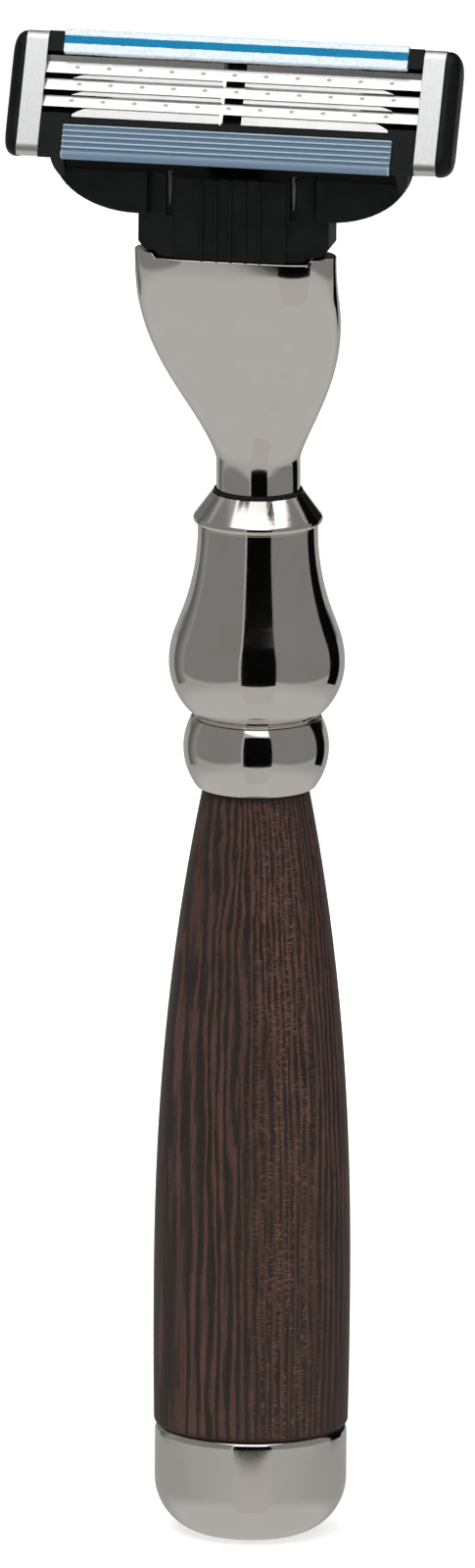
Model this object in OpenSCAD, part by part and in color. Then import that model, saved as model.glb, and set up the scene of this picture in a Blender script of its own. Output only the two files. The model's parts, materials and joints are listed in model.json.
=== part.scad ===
// Cartridge razor: a turned handle with a curved head, and a cartridge of three blades that pivots and
// can be pulled off. The handle's axis is Z, the blades face -Y, and the origin is the middle of the
// end cap's flat base.

/* [Handle] */
// Height of the end cap
cap_h = 10.1; // [8:0.1:13]
// Radius of the end cap
cap_r = 8.75; // [8:0.05:10]
// Radius that rounds the end cap's lower edge
cap_round = 5.2; // [3:0.1:6]
// Length of the wooden grip between the end cap and the bead
grip_len = 59.8; // [45:0.1:75]
// Largest radius of the grip
grip_max_r = 8.98; // [8.2:0.02:10.5]
// Radius of the grip at the end cap
grip_end_r = 8.85; // [7.8:0.05:9.2]
// Radius of the grip under the bead
grip_top_r = 4.8; // [4:0.05:5.3]
// Height of the grip's thickest place above the end cap
grip_belly = 12.9; // [8:0.1:20]
// How sharply the grip narrows towards the bead
grip_power = 2.23; // [1.6:0.01:3]
// Radius of the steel rod that clamps the handle together
rod_r = 2; // [1.5:0.1:2.5]
// Depth that the rod screws into the end cap
rod_in_cap = 7; // [4:0.1:8]
// Depth that the rod screws into the bell
rod_in_bell = 8; // [4:0.1:10]
// Radius of the spigot that centres the grip in the end cap
spigot_r = 6; // [4:0.1:7]
// Length of the grip's spigot
spigot_len = 2; // [1:0.1:3]

/* [Bead, lip and bell] */
// Height of the bead
bead_h = 6.4; // [5:0.1:8]
// Largest radius of the bead
bead_r = 6.66; // [6:0.02:7.6]
// Radius of the bead's rounded outside
bead_round = 6; // [4:0.1:6.4]
// Height of the bead's widest place above its underside
bead_belly = 3.6; // [2.6:0.1:4.4]
// Radius of the thin lip disc
lip_r = 5.75; // [5.2:0.05:6.2]
// Thickness of the lip disc
lip_h = 0.4; // [0.3:0.05:0.8]
// Height of the dark groove between the lip and the bell
groove_h = 0.3; // [0.2:0.05:0.6]
// Radius at the bottom of that groove
groove_r = 5.1; // [4.4:0.05:5.6]
// Height of the bell
bell_h = 17.7; // [14:0.1:22]
// Largest radius of the bell
bell_r = 8.05; // [7.4:0.05:9]
// Radius of the bell's upper rim
bell_top_r = 5.5; // [5:0.05:5.8]
// Height of the bell's widest place above its underside
bell_belly = 4.8; // [4.2:0.1:6]
// Radius that rounds the bell's underside
bell_under = 6.4; // [6:0.1:7.2]
// Radius of the bell's shoulder
bell_shoulder = 8.5; // [6:0.1:12]
// Slope of the straight part between the bell's shoulder and its waist
bell_slope = 20.5; // [18:0.1:22]
// Height of the straight rim at the bell's top
bell_rim = 0.5; // [0.3:0.1:1]

/* [Collar and seal] */
// Height of the collar
collar_h = 3; // [2.4:0.1:4]
// Largest radius of the collar
collar_r = 5.93; // [5.6:0.01:7]
// Height of the collar's rim
collar_rim = 0.9; // [0.6:0.05:1.2]
// Radius of the collar's upper face
collar_top_r = 4.2; // [4:0.05:4.6]
// Thickness of the seal under the neck
seal_h = 0.35; // [0.2:0.05:0.6]
// Radius of the seal
seal_r = 4.1; // [3.95:0.05:4.2]

/* [Head] */
// Radius of the neck above the seal
neck_r = 3.84; // [3.4:0.02:3.9]
// Height of the head from the seal to its upper face
head_h = 25; // [21:0.1:30]
// Width of the head at its upper face
head_w = 18.7; // [15:0.1:20]
// Thickness of the head at its upper face
head_t = 5.6; // [5.2:0.1:6.4]
// Distance that the head bends forward of the handle's axis
head_forward = 12.2; // [8:0.1:15]
// Width of the seat in the head's upper face
seat_w = 14; // [11.5:0.1:15]
// Depth of the seat in the head's upper face
seat_depth = 0.4; // [0.2:0.05:0.8]
// Radius of the stud under the neck
stud_r = 2; // [1.5:0.1:2.2]
// Depth that the stud screws into the bell
stud_in_bell = 5; // [3:0.1:6]

/* [Docking] */
// Width of the docking post
post_w = 9.2; // [8:0.1:10]
// Thickness of the docking post
post_t = 3.6; // [3.2:0.1:3.8]
// Height of the docking post above the head
post_up = 4.2; // [3:0.1:5]
// Depth that the docking post sits in the head
post_down = 3; // [2.8:0.1:3.2]
// Width of the plunger's tongue
tongue_w = 5; // [4:0.1:5.4]
// Thickness of the plunger's tongue
tongue_t = 1.8; // [1.4:0.1:1.9]
// Width of the plunger's foot
foot_w = 6.8; // [6:0.1:7]
// Height of the plunger's foot
foot_h = 1; // [0.8:0.1:1.2]
// Length of the plunger spring at rest
spring_len = 4.3; // [4:0.1:4.6]
// Mean radius of the plunger spring
spring_r = 1; // [0.8:0.05:1.05]
// Radius of the spring wire
wire_r = 0.15; // [0.1:0.01:0.2]
// Number of turns in the spring
spring_turns = 5; // [3:1:7]

/* [Connector] */
// Width of the connector's block
block_w = 17.7; // [14:0.1:19]
// Thickness of the connector's block
block_t = 5.6; // [5.2:0.1:6.4]
// Width across the connector's wings
wings_w = 33.2; // [28:0.1:34]
// Height of a wing where it meets the block
wing_h = 5.2; // [3.5:0.1:6]
// Thickness of a wing
wing_t = 1.6; // [1.2:0.1:2]
// Width of the raised panel on the block
panel_w = 11.5; // [9:0.1:13]
// Number of ribs on the panel
ribs = 5; // [3:1:7]
// Distance between the ribs
rib_pitch = 1.35; // [1:0.05:1.5]
// Radius of the bearing at the end of each arm
bearing_r = 0.7; // [0.5:0.05:0.75]
// Width of each arm
arm_w = 1.2; // [1:0.1:1.5]

/* [Cartridge] */
// Width of the cartridge over its ends
cart_w = 41.6; // [38:0.1:46]
// Height of the cartridge's face
cart_h = 12.4; // [11.6:0.1:13]
// Depth of the cartridge
cart_d = 3.8; // [3.6:0.1:4.2]
// Angle by which the cartridge's face leans back at rest
face_tilt = 30; // [26:1:32]
// How far the foot of the face is in front of the head's middle
face_forward = 5.8; // [5.6:0.1:6.4]
// Height of the foot of the face above the head
face_up = 9.3; // [9:0.1:10]
// Height of the pivot above the foot of the face
pivot_up = 1.5; // [1.3:0.1:1.8]
// Depth of the pivot behind the face
pivot_in = 1; // [0.9:0.05:1.1]
// Largest angle of the pivot
pivot_range = 40; // [30:1:40]
// Width of each clip
clip_w = 2.1; // [1.6:0.1:2.6]
// Thickness of the clips
clip_t = 0.25; // [0.15:0.05:0.3]
// Distance from the clips to the cartridge's ends
end_w = 1.3; // [1:0.1:2]
// Width of the guard strip
guard_w = 30.5; // [26:0.1:31]
// Height of the guard strip
guard_h = 3.15; // [2.8:0.05:3.4]
// Number of fins on the guard strip
fins = 5; // [3:1:7]
// Distance between the fins
fin_pitch = 0.52; // [0.4:0.01:0.6]
// Width of the lubricating strip
strip_w = 31.9; // [28:0.1:33]
// Height of the lubricating strip
strip_h = 2.35; // [2:0.05:2.6]
// Height of the coloured stripe in the lubricating strip
stripe_h = 0.76; // [0.5:0.02:1]

/* [Blades] */
// Distance between the blades
blade_pitch = 1.6; // [1.5:0.02:1.7]
// Width of each blade from its edge to its back
blade_strip = 1.23; // [1:0.01:1.3]
// Thickness of the blades and of their supports
blade_t = 0.1; // [0.08:0.01:0.12]
// Angle between the blades and the cartridge's face
blade_tilt = 20; // [15:1:25]
// Height of the first blade's back above the foot of the face
blade_back = 9.28; // [9:0.02:9.4]
// Width of the notch in the middle of each support
notch_w = 2.1; // [1:0.1:3]
// How far each blade can sink
blade_float = 0.25; // [0.1:0.05:0.3]

/* [Fits] */
// Clearance between pieces that slide or pass each other
slide_gap = 0.12; // [0.08:0.01:0.2]
// Clearance between the cartridge and the connector
swing_gap = 0.25; // [0.2:0.05:0.4]
// Running clearance of the bearings
bearing_gap = 0.06; // [0.04:0.01:0.1]

/* [Hidden] */
$fn = 64;

// Heights of the joints along the handle
grip_z = cap_h + 0.1;
bead_z = cap_h + grip_len;
lip_z = bead_z + bead_h;
bell_z = lip_z + lip_h;
collar_z = bell_z + bell_h;
seal_z = collar_z + collar_h;
head_z = seal_z + seal_h;
top_z = head_z + head_h;
// The head's middle at its upper face
head_y = -head_forward;
// The foot of the cartridge's face, and the pivot, in the handle's frame
face_y = head_y - face_forward;
face_z = top_z + face_up;
pivot_y = face_y + pivot_up * sin(face_tilt) + pivot_in * cos(face_tilt);
pivot_z = face_z + pivot_up * cos(face_tilt) - pivot_in * sin(face_tilt);
// Radius about the pivot that the cartridge's back stays inside
heel_r = cart_d - pivot_in;
// The plunger's foot, and its nose, which just clears the cartridge's back at rest
foot_z = top_z - 0.5;
bore_z = foot_z - spring_len;
nose_r = tongue_t / 2;
nose_z = pivot_z + ((head_y - pivot_y) * cos(face_tilt) - heel_r - nose_r - slide_gap) / sin(face_tilt);
// Where the clips start, measured from the middle
clip_x = cart_w / 2 - end_w - clip_w;
// Length of the blades, which end under the clips
blade_w = 2 * (clip_x + clip_w - 0.5);
// Half the length of the lower middle of the bar under the window
low_bar = clip_x - 2.6;
// Heights of the blade window in the cartridge
window_low = guard_h + 0.98;
window_high = cart_h - strip_h + 0.12;
// The window's shallow ends start a little higher
end_step = 0.2;
// Where the slots in the supports start
slot_from = blade_w / 2 - 7;

// Points along an arc in the plane, from angle a to angle b
function arc(x, y, r, a, b, n = 16) = [for (i = [0:n]) let (t = a + (b - a) * i / n)
    [x + r * cos(t), y + r * sin(t)]];
// A ring of points round a rectangle with rounded corners
function rounded(x0, y0, x1, y1, r, n = 8) = concat(
    arc(x1 - r, y1 - r, r, 0, 90, n), arc(x0 + r, y1 - r, r, 90, 180, n),
    arc(x0 + r, y0 + r, r, 180, 270, n), arc(x1 - r, y0 + r, r, 270, 360, n));
// A smooth step from 0 to 1
function ease(t) = (1 - cos(180 * min(1, max(0, t)))) / 2;

// Turns a profile, given as radius and height, about the handle's axis, with a bore through it
module turned(profile, bore) {
    difference() {
        rotate_extrude($fn = 96) polygon(profile);
        if (bore > 0) translate([0, 0, -1]) cylinder(r = bore, h = top_z);
    }
}

// Places children that are drawn on the cartridge's face: X across, Y into the cartridge, Z up its face
module on_face() {
    translate([0, face_y, face_z]) rotate([-face_tilt, 0, 0]) children();
}

// Extrudes an outline, given as depth and height, across the cartridge from x0 to x1
module across(x0, x1, outline) {
    translate([x0, 0, 0]) rotate([90, 0, 90]) linear_extrude(x1 - x0) polygon(outline);
}

// ---- Handle ----

module end_cap() {
    // The upper edge is eased by part of a round
    bevel = 0.8;
    bevel_turn = 50;
    color("silver") difference() {
        rotate_extrude($fn = 96) polygon(concat(
            [[0, 0]],
            arc(cap_r - cap_round, cap_round, cap_round, -90, 0),
            arc(cap_r - bevel, cap_h - bevel * sin(bevel_turn), bevel, 0, bevel_turn, 5),
            [[0, cap_h]]));
        translate([0, 0, cap_h - spigot_len]) cylinder(r = spigot_r, h = spigot_len + 1);
        translate([0, 0, cap_h - rod_in_cap]) cylinder(r = rod_r, h = rod_in_cap + 1);
    }
}

// The grip's radius at a height above the end cap
function grip_radius(h) = let (rest = (h - grip_belly) / (grip_len - grip_belly)) h < grip_belly
    ? grip_max_r - (grip_max_r - grip_end_r) * pow(1 - h / grip_belly, 2)
    : grip_max_r - (grip_max_r - grip_top_r) * pow(rest, grip_power);

module wood_grip() {
    steps = 36;
    edge = 0.45;
    color("#3a241c") turned(concat(
        [[0, cap_h - spigot_len], [spigot_r, cap_h - spigot_len], [spigot_r, grip_z - 0.1],
         [grip_end_r - edge, grip_z - 0.1]],
        arc(grip_end_r - edge, grip_z + edge, edge, -70, 0, 4),
        [for (i = [1:steps]) let (h = edge + 0.1 + (grip_len - edge - 0.1) * i / steps)
            [grip_radius(h), cap_h + h]],
        [[0, bead_z]]), rod_r);
}

module tie_rod() {
    low = cap_h - rod_in_cap;
    color("dimgray") translate([0, 0, low]) cylinder(r = rod_r, h = bell_z + rod_in_bell - low);
}

module bead_ring() {
    belly = bead_z + bead_belly;
    low = asin(bead_belly / bead_round);
    high = asin((bead_h - bead_belly) / bead_round);
    color("silver") turned(concat(
        [[0, bead_z]],
        arc(bead_r - bead_round, belly, bead_round, -low, high, 24),
        [[0, lip_z]]), rod_r);
}

module lip_ring() {
    round_r = lip_h / 2;
    color("silver") turned(concat(
        [[0, lip_z]], arc(lip_r - round_r, lip_z + round_r, round_r, -90, 90, 8), [[0, bell_z]]), rod_r);
}

// The bell's shoulder curves out, then a straight slope meets the waist, which curves in to the rim
module bell_ferrule() {
    rise = bell_h - bell_belly - bell_rim;
    flare = bell_r - bell_top_r;
    both = (rise * sin(bell_slope) - flare * cos(bell_slope)) / (1 - cos(bell_slope));
    waist = both - bell_shoulder;
    belly = bell_z + bell_belly;
    foot = asin((bell_belly - groove_h) / bell_under);
    color("silver") turned(concat(
        [[0, bell_z], [groove_r, bell_z], [groove_r, bell_z + groove_h]],
        arc(bell_r - bell_under, belly, bell_under, -foot, 0, 12),
        arc(bell_r - bell_shoulder, belly, bell_shoulder, bell_slope / 12, bell_slope, 11),
        arc(bell_top_r + waist, belly + rise, waist, 180 + bell_slope, 180, 12),
        [[bell_top_r, collar_z], [0, collar_z]]), rod_r);
}

module collar() {
    round_r = collar_rim / 2;
    color("silver") turned(concat(
        [[0, collar_z], [bell_top_r - 0.1, collar_z], [bell_top_r - 0.1, collar_z + 0.1]],
        arc(collar_r - round_r, collar_z + 0.1 + round_r, round_r, -90, 40, 10),
        [[collar_top_r, seal_z], [0, seal_z]]), stud_r);
}

module neck_seal() {
    round_r = seal_h / 2;
    color("#202020") turned(concat(
        [[0, seal_z]],
        arc(seal_r - round_r, seal_z + round_r, round_r, -90, 90, 8),
        [[0, head_z]]), stud_r);
}

// ---- Head ----

// The head is a stack of level slices. Each is a flat oblong with elliptical ends, moved forward with
// height: the neck starts upright, then leans at one slope, and is upright again at the top
function ramp(h, from, to) = h < from ? 0
    : h < to ? pow(h - from, 2) / (2 * (to - from)) : h - (from + to) / 2;
function head_swing(h) = ramp(h, 0.04 * head_h, 0.37 * head_h) - ramp(h, 0.8 * head_h, head_h);
function head_lean(h) = head_forward * head_swing(h) / head_swing(head_h);
function head_slope(h) = (head_lean(h + 0.05) - head_lean(h - 0.05)) / 0.1;
// Where the head starts to widen, and the length over which it does
widen_from = 2.8;
widen_len = head_h * 0.72;
function head_half_w(h) = let (t = min(1, max(0, (h - widen_from) / widen_len)))
    neck_r + (head_w / 2 - neck_r) * pow(sin(90 * pow(t, 0.66)), 2);
function head_half_t(h) = let (t = ease((h - 1) / (head_h * 0.45)))
    (neck_r + (head_t / 2 - neck_r) * t) * sqrt(1 + pow(head_slope(h), 2));
// Half the width of a slice's flat middle
function head_flat(h) = 0.47 * head_half_w(h) * ease((h - 3) / (head_h * 0.6));
// A point of the slice at height h, at angle a round it
function head_point(h, a) = [
    head_flat(h) * sign(cos(a)) + (head_half_w(h) - head_flat(h)) * cos(a),
    -head_lean(h) + head_half_t(h) * sin(a),
    head_z + h];

module head_skin() {
    sides = 40;
    slices = 30;
    points = [for (i = [0:slices]) for (j = [0:sides - 1])
        head_point(head_h * i / slices, 360 * (j + 0.5) / sides)];
    walls = [for (i = [0:slices - 1]) for (j = [0:sides - 1]) let (k = (j + 1) % sides)
        [i * sides + j, (i + 1) * sides + j, (i + 1) * sides + k, i * sides + k]];
    polyhedron(points, concat([[for (j = [0:sides - 1]) j]],
        walls, [[for (j = [sides - 1:-1:0]) slices * sides + j]]), convexity = 4);
}

module head_neck() {
    color("silver") {
        difference() {
            head_skin();
            translate([-seat_w / 2, head_y - head_t / 2 - 1, top_z - seat_depth])
                cube([seat_w, head_t + 2, 2]);
            translate([-post_w / 2, head_y - post_t / 2, top_z - post_down])
                cube([post_w, post_t, post_down + 1]);
            translate([0, head_y, bore_z]) cylinder(r = spring_r + wire_r + slide_gap, h = post_down + 4);
        }
        translate([0, 0, collar_z - stud_in_bell])
            cylinder(r = stud_r, h = head_z - collar_z + stud_in_bell + 1);
    }
}

// ---- Docking ----

module docking_post() {
    slot_w = tongue_w + 2 * slide_gap;
    slot_t = tongue_t + 2 * slide_gap;
    cavity_w = foot_w + 2 * slide_gap;
    low = top_z - post_down;
    color("#1c1c1e") difference() {
        translate([-post_w / 2, head_y - post_t / 2, low]) cube([post_w, post_t, post_down + post_up]);
        translate([-slot_w / 2, head_y - slot_t / 2, low - 1])
            cube([slot_w, slot_t, post_down + post_up + 2]);
        translate([-cavity_w / 2, head_y - slot_t / 2, low - 1])
            cube([cavity_w, slot_t, foot_z + foot_h + slide_gap - low + 1]);
        translate([0, head_y, low - 1]) cylinder(r = spring_r + wire_r + slide_gap, h = foot_z - low + 1);
        // A notch in each side, for the latch
        for (side = [-1, 1]) translate([side * post_w / 2, head_y, top_z + post_up / 2])
            rotate([90, 0, 0]) cylinder(r = 0.6, h = post_t + 1, center = true);
    }
}

module plunger() {
    color("#2a2a2c") {
        translate([-foot_w / 2, head_y - tongue_t / 2, foot_z]) cube([foot_w, tongue_t, foot_h]);
        translate([-tongue_w / 2, head_y - tongue_t / 2, foot_z])
            cube([tongue_w, tongue_t, nose_z - foot_z]);
        translate([-tongue_w / 2, head_y, nose_z]) rotate([0, 90, 0]) cylinder(r = nose_r, h = tongue_w);
    }
}

// The spring is a round wire carried along a helix between the bore's bottom and the plunger's foot
module plunger_spring() {
    steps = 14 * spring_turns;
    sides = 6;
    low = bore_z + wire_r;
    rise = foot_z - wire_r - low;
    points = [for (i = [0:steps]) for (j = [0:sides - 1])
        let (a = 360 * spring_turns * i / steps, b = 360 * j / sides, r = spring_r + wire_r * cos(b))
        [r * cos(a), head_y + r * sin(a), low + rise * i / steps + wire_r * sin(b)]];
    walls = [for (i = [0:steps - 1]) for (j = [0:sides - 1]) let (k = (j + 1) % sides)
        [i * sides + j, (i + 1) * sides + j, (i + 1) * sides + k, i * sides + k]];
    color("gray") polyhedron(points, concat([[for (j = [0:sides - 1]) j]],
        walls, [[for (j = [sides - 1:-1:0]) steps * sides + j]]), convexity = 10);
}

// ---- Connector ----

block_z = top_z - seat_depth + slide_gap;
// Everything above this plane and inside this circle is left free for the cartridge's heel
module swing_space() {
    reach = heel_r + swing_gap;
    translate([-cart_w, pivot_y, pivot_z]) {
        rotate([0, 90, 0]) cylinder(r = reach, h = 2 * cart_w, $fn = 96);
        rotate([90 - face_tilt - pivot_range, 0, 0]) translate([0, -1, -reach])
            cube([2 * cart_w, cart_w, cart_w]);
    }
}

wing_y = head_y - block_t / 2 + 0.6;
wing_top = top_z + 8.8;
// The wing's outline: a quarter of an ellipse from the block's side up to the wing's tip
module wing_outline(top) {
    steps = 14;
    half = wings_w / 2;
    inner = block_w / 2 - 1;
    polygon(concat([[inner, wing_top + top], [inner, wing_top - wing_h]],
        [for (i = [0:steps]) let (a = -90 + 90 * i / steps)
            [block_w / 2 + (half - block_w / 2) * cos(a), wing_top + wing_h * sin(a)]],
        [[half, wing_top + top]]));
}
module wing() {
    translate([0, wing_y + wing_t, 0]) rotate([90, 0, 0]) linear_extrude(wing_t) wing_outline(3);
}

// A straight bar from p to q with a half-width, as an outline
function bar(p, q, half) = let (d = (q - p) / norm(q - p), n = [-d[1], d[0]] * half)
    [p + n, p - n, q - n, q + n];

// An arm reaches from the wing's tip to the pivot and ends in a round bearing
arm_root = [wing_y + wing_t / 2, pivot_z - heel_r - swing_gap - 0.5];
arm_half = 0.5;
module arm() {
    translate([wings_w / 2 - arm_w, 0, 0]) {
        translate([0, pivot_y, pivot_z]) rotate([0, 90, 0]) cylinder(r = bearing_r, h = arm_w);
        // The arm's foot ends in the wing's outline
        intersection() {
            rotate([90, 0, 90]) linear_extrude(arm_w) polygon(bar([pivot_y, pivot_z], arm_root, arm_half));
            translate([arm_w - wings_w / 2, 0, 0]) rotate([90, 0, 0]) linear_extrude(-3 * head_y)
                wing_outline(head_h);
        }
    }
}

module connector() {
    w = block_w / 2;
    front = head_y - block_t / 2;
    back = head_y + block_t / 2;
    side_front = front + 1.6;
    bevel = 0.7;
    // The block's middle sits in the head's seat, and its sides clear the head's upper face
    rest_z = top_z + slide_gap;
    tongue = seat_w / 2 - slide_gap;
    socket_w = post_w + 2 * slide_gap;
    socket_t = post_t + 2 * slide_gap;
    slot_w = tongue_w + 4 * slide_gap;
    slot_t = tongue_t + 2 * slide_gap;
    color("#222326") {
        difference() {
            union() {
                // The block, bevelled at the lower corners
                intersection() {
                    translate([0, 0, block_z]) linear_extrude(12) polygon([
                        [-w, back], [-w, side_front], [-panel_w / 2, front + 0.3],
                        [panel_w / 2, front + 0.3], [w, side_front], [w, back]]);
                    translate([0, back + 1, 0]) rotate([90, 0, 0]) linear_extrude(block_t + 2) polygon([
                        [-w, rest_z + bevel], [-w + bevel, rest_z], [-tongue, rest_z], [-tongue, block_z],
                        [tongue, block_z], [tongue, rest_z], [w - bevel, rest_z], [w, rest_z + bevel],
                        [w, block_z + 12], [-w, block_z + 12]]);
                }
                // The raised panel with its ribs
                translate([-panel_w / 2 + 0.6, front, block_z]) cube([panel_w - 1.2, 1, 12]);
                for (i = [0:ribs - 1])
                    translate([(i - (ribs - 1) / 2) * rib_pitch, front + 0.3, block_z + 6])
                        cube([0.3, 1, 12], center = true);
                wing();
                mirror([1, 0, 0]) wing();
            }
            swing_space();
            translate([-socket_w / 2, head_y - socket_t / 2, block_z - 1])
                cube([socket_w, socket_t, post_up + seat_depth + 1 + slide_gap]);
            translate([-slot_w / 2, head_y - slot_t / 2, block_z]) cube([slot_w, slot_t, 20]);
            // The two slots beside the latch tongue
            for (side = [-1, 1])
                translate([side * panel_w / 2 - 0.3, front - 1, block_z + 4]) cube([0.6, 1.7, 12]);
        }
        arm();
        mirror([1, 0, 0]) arm();
    }
}

// ---- Cartridge ----

// The cartridge's underside rises towards its back: the lower part of an outline is sheared upwards
tuck = 0.3;
function tucked(outline) = [for (p = outline) [p[0], p[1] + tuck * max(0, p[0]) * max(0, 1 - p[1] / 4)]];
// The frame's section behind the strips: its heel is round about the pivot
function frame_section(front, top) = let (low = -asin(pivot_up / heel_r)) tucked(concat(
    [[front, 0]],
    arc(pivot_in, pivot_up, heel_r, low, 0, 10),
    arc(cart_d - 0.8, top - 0.8, 0.8, 0, 90, 6),
    [[front, top]]));

// The rounded seat under a clip; the clip is the same shape, one thickness larger
function clip_outline(grow) = tucked(rounded(
    -grow, 0.3 - grow, cart_d - 0.3 + grow, cart_h - 0.4 + grow, 0.9 + grow));

// An end of the frame outside its clip, rounded from the side and from the front
module frame_end() {
    start = clip_x + clip_w;
    stop = cart_w / 2;
    round_h = 2.2;
    steps = 8;
    front_view = concat([[start, 0]],
        [for (i = [0:steps]) let (a = -90 + 90 * i / steps)
            [start + end_w * cos(a), round_h + round_h * sin(a)]],
        [for (i = [0:steps]) let (a = 90 * i / steps)
            [start + end_w * cos(a), cart_h - 0.1 - round_h + round_h * sin(a)]],
        [[start, cart_h - 0.1]]);
    intersection() {
        translate([0, cart_d + 2, 0]) rotate([90, 0, 0]) linear_extrude(cart_d + 4) polygon(front_view);
        across(start - 0.01, stop + 0.01,
            tucked(rounded(-0.35, -0.05, cart_d + 0.3, cart_h - 0.05, 1.9)));
    }
}

module half_frame() {
    start = clip_x + clip_w;
    arm_x = wings_w / 2 - arm_w;
    cut = slide_gap;
    // Directions of the arm in the cartridge's frame at both ends of the swing
    rest_a = atan2(arm_root[1] - pivot_z, arm_root[0] - pivot_y) + face_tilt;
    far_a = rest_a + pivot_range;
    half = arm_half + cut;
    pocket = [pivot_in, pivot_up];
    rib_half = notch_w / 2 - slide_gap;
    rib_from = 1.5;
    difference() {
        union() {
            across(0, clip_x, frame_section(0, cart_h - 0.3));
            across(clip_x - 0.01, start, clip_outline(0));
            frame_end();
        }
        // The seats of the two strips
        translate([-1, -2, -1]) cube([guard_w / 2 + 1, 2.35, guard_h + 1]);
        translate([-1, -2, cart_h - strip_h]) cube([strip_w / 2 + 1, 2.6, strip_h + 1]);
        // The blade window is open between a rib in the middle, which fits the supports' notches, and
        // the webs behind their slots. Its shallow part is as long as the blades, and has the grooves
        // for the supports' legs
        translate([rib_half, -1, window_low])
            cube([slot_from - 0.3 - rib_half, cart_d + 3, window_high - window_low]);
        translate([-1, -1, window_low + end_step])
            cube([blade_w / 2 + 1.1, 1 + rib_from, window_high - window_low - end_step]);
        for (n = [1:3]) translate([rib_half, rib_from / 2, leg_height(n) - slide_gap]) cube([
            (n == 3 ? low_bar : blade_w / 2 + 0.1) - rib_half,
            leg_end + blade_float + 0.1 - rib_from / 2,
            blade_t + 2 * slide_gap]);
        // The bar under the window is lower in the middle
        translate([-1, -1, guard_h + 0.74]) cube([low_bar + 1, 1.8, 1]);
        // The bearing's bore, and the space in which the arm swings
        translate([arm_x - cut, pivot_in, pivot_up]) rotate([0, 90, 0])
            cylinder(r = bearing_r + bearing_gap, h = arm_w + 2 * cut);
        across(arm_x - cut, arm_x + arm_w + cut, [
            pocket + half * [sin(rest_a), -cos(rest_a)],
            pocket + half * [sin(rest_a), -cos(rest_a)] + 7 * [cos(rest_a), sin(rest_a)],
            pocket + half * [-sin(far_a), cos(far_a)] + 7 * [cos(far_a), sin(far_a)],
            pocket + half * [-sin(far_a), cos(far_a)]]);
    }
}

module housing() {
    color("#1d1e20") on_face() {
        half_frame();
        mirror([1, 0, 0]) half_frame();
    }
}

module guard_strip() {
    crest = -0.4;
    root = -0.12;
    fin_t = 0.1;
    color("#84a4c4") on_face() across(-guard_w / 2, guard_w / 2, concat(
        [[0.35, guard_h]],
        [for (i = [0:fins - 1]) let (z = guard_h - i * fin_pitch)
            each [[crest, z], [crest, z - fin_t], [root, z - fin_t - 0.1], [root, z - fin_pitch + 0.04]]],
        [[crest + 0.06, guard_h - fins * fin_pitch], [crest + 0.06, 0.3], [crest + 0.36, 0], [0.35, 0]]));
}

strip_low = cart_h - strip_h;
stripe_low = strip_low + (strip_h - stripe_h) * 0.52;
strip_out = 0.3;
strip_back = 0.6;
stripe_back = 0.1;
module lubricating_strip() {
    color("white") on_face() difference() {
        across(-strip_w / 2, strip_w / 2, concat(
            [[strip_back, strip_low], [strip_back, cart_h]],
            arc(0.2, cart_h - 0.5, 0.5, 90, 180, 6),
            [[-strip_out, strip_low]]));
        stripe(strip_w + 2, 1);
    }
}

// The stripe's bar: its length, and how far it stands out of the face
module stripe(length, out) {
    translate([-length / 2, -out, stripe_low]) cube([length, out + stripe_back, stripe_h]);
}

module lubricating_stripe() {
    color("#0b86c4") on_face() stripe(strip_w, strip_out + 0.01);
}

// A clip is a band bent round the frame, open at the back
module clip() {
    color("gainsboro") on_face() difference() {
        across(clip_x + 0.02, clip_x + clip_w - 0.02, clip_outline(clip_t));
        across(clip_x - 1, clip_x + clip_w + 1, clip_outline(0));
        translate([clip_x - 1, cart_d - 0.35, 2.2]) cube([clip_w + 2, 1, cart_h - 4.6]);
    }
}
module clip_left() { mirror([1, 0, 0]) clip(); }
module clip_right() { clip(); }

// ---- Blades ----

// Along a blade from its edge to its back, and square to it into the cartridge
blade_dir = [sin(blade_tilt), cos(blade_tilt)];
blade_in = [cos(blade_tilt), -sin(blade_tilt)];
blade_front = 0.08;
platform_from = 0.3;
leg_end = 3.3;
function blade_edge(n) = [
    blade_front, blade_back - (n - 1) * blade_pitch - blade_strip * cos(blade_tilt)];
function platform_edge(n) = blade_edge(n) + platform_from * blade_dir + blade_t * blade_in;
// Each flange ends just above the next blade's back; the last one ends in the bar under the window
function flange_len(n) = n == 3 ? 1.1
    : blade_pitch - blade_strip * cos(blade_tilt) + platform_from * cos(blade_tilt)
        - blade_t * sin(blade_tilt) - slide_gap / 2;
function leg_height(n) = platform_edge(n)[1] - flange_len(n);

// A bent sheet: the path is its outside, and its thickness goes to the path's left, mitred at each bend
function unit(v) = v / norm(v);
function left(v) = [-v[1], v[0]];
function sheet(path, t) = let (
    last = len(path) - 1,
    normals = [for (i = [0:last - 1]) left(unit(path[i + 1] - path[i]))],
    inside = [for (i = [0:last]) let (a = normals[max(0, i - 1)], b = normals[min(last - 1, i)])
        path[i] + t * (a + b) / (1 + a * b)])
    concat(path, [for (i = [last:-1:0]) inside[i]]);

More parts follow.
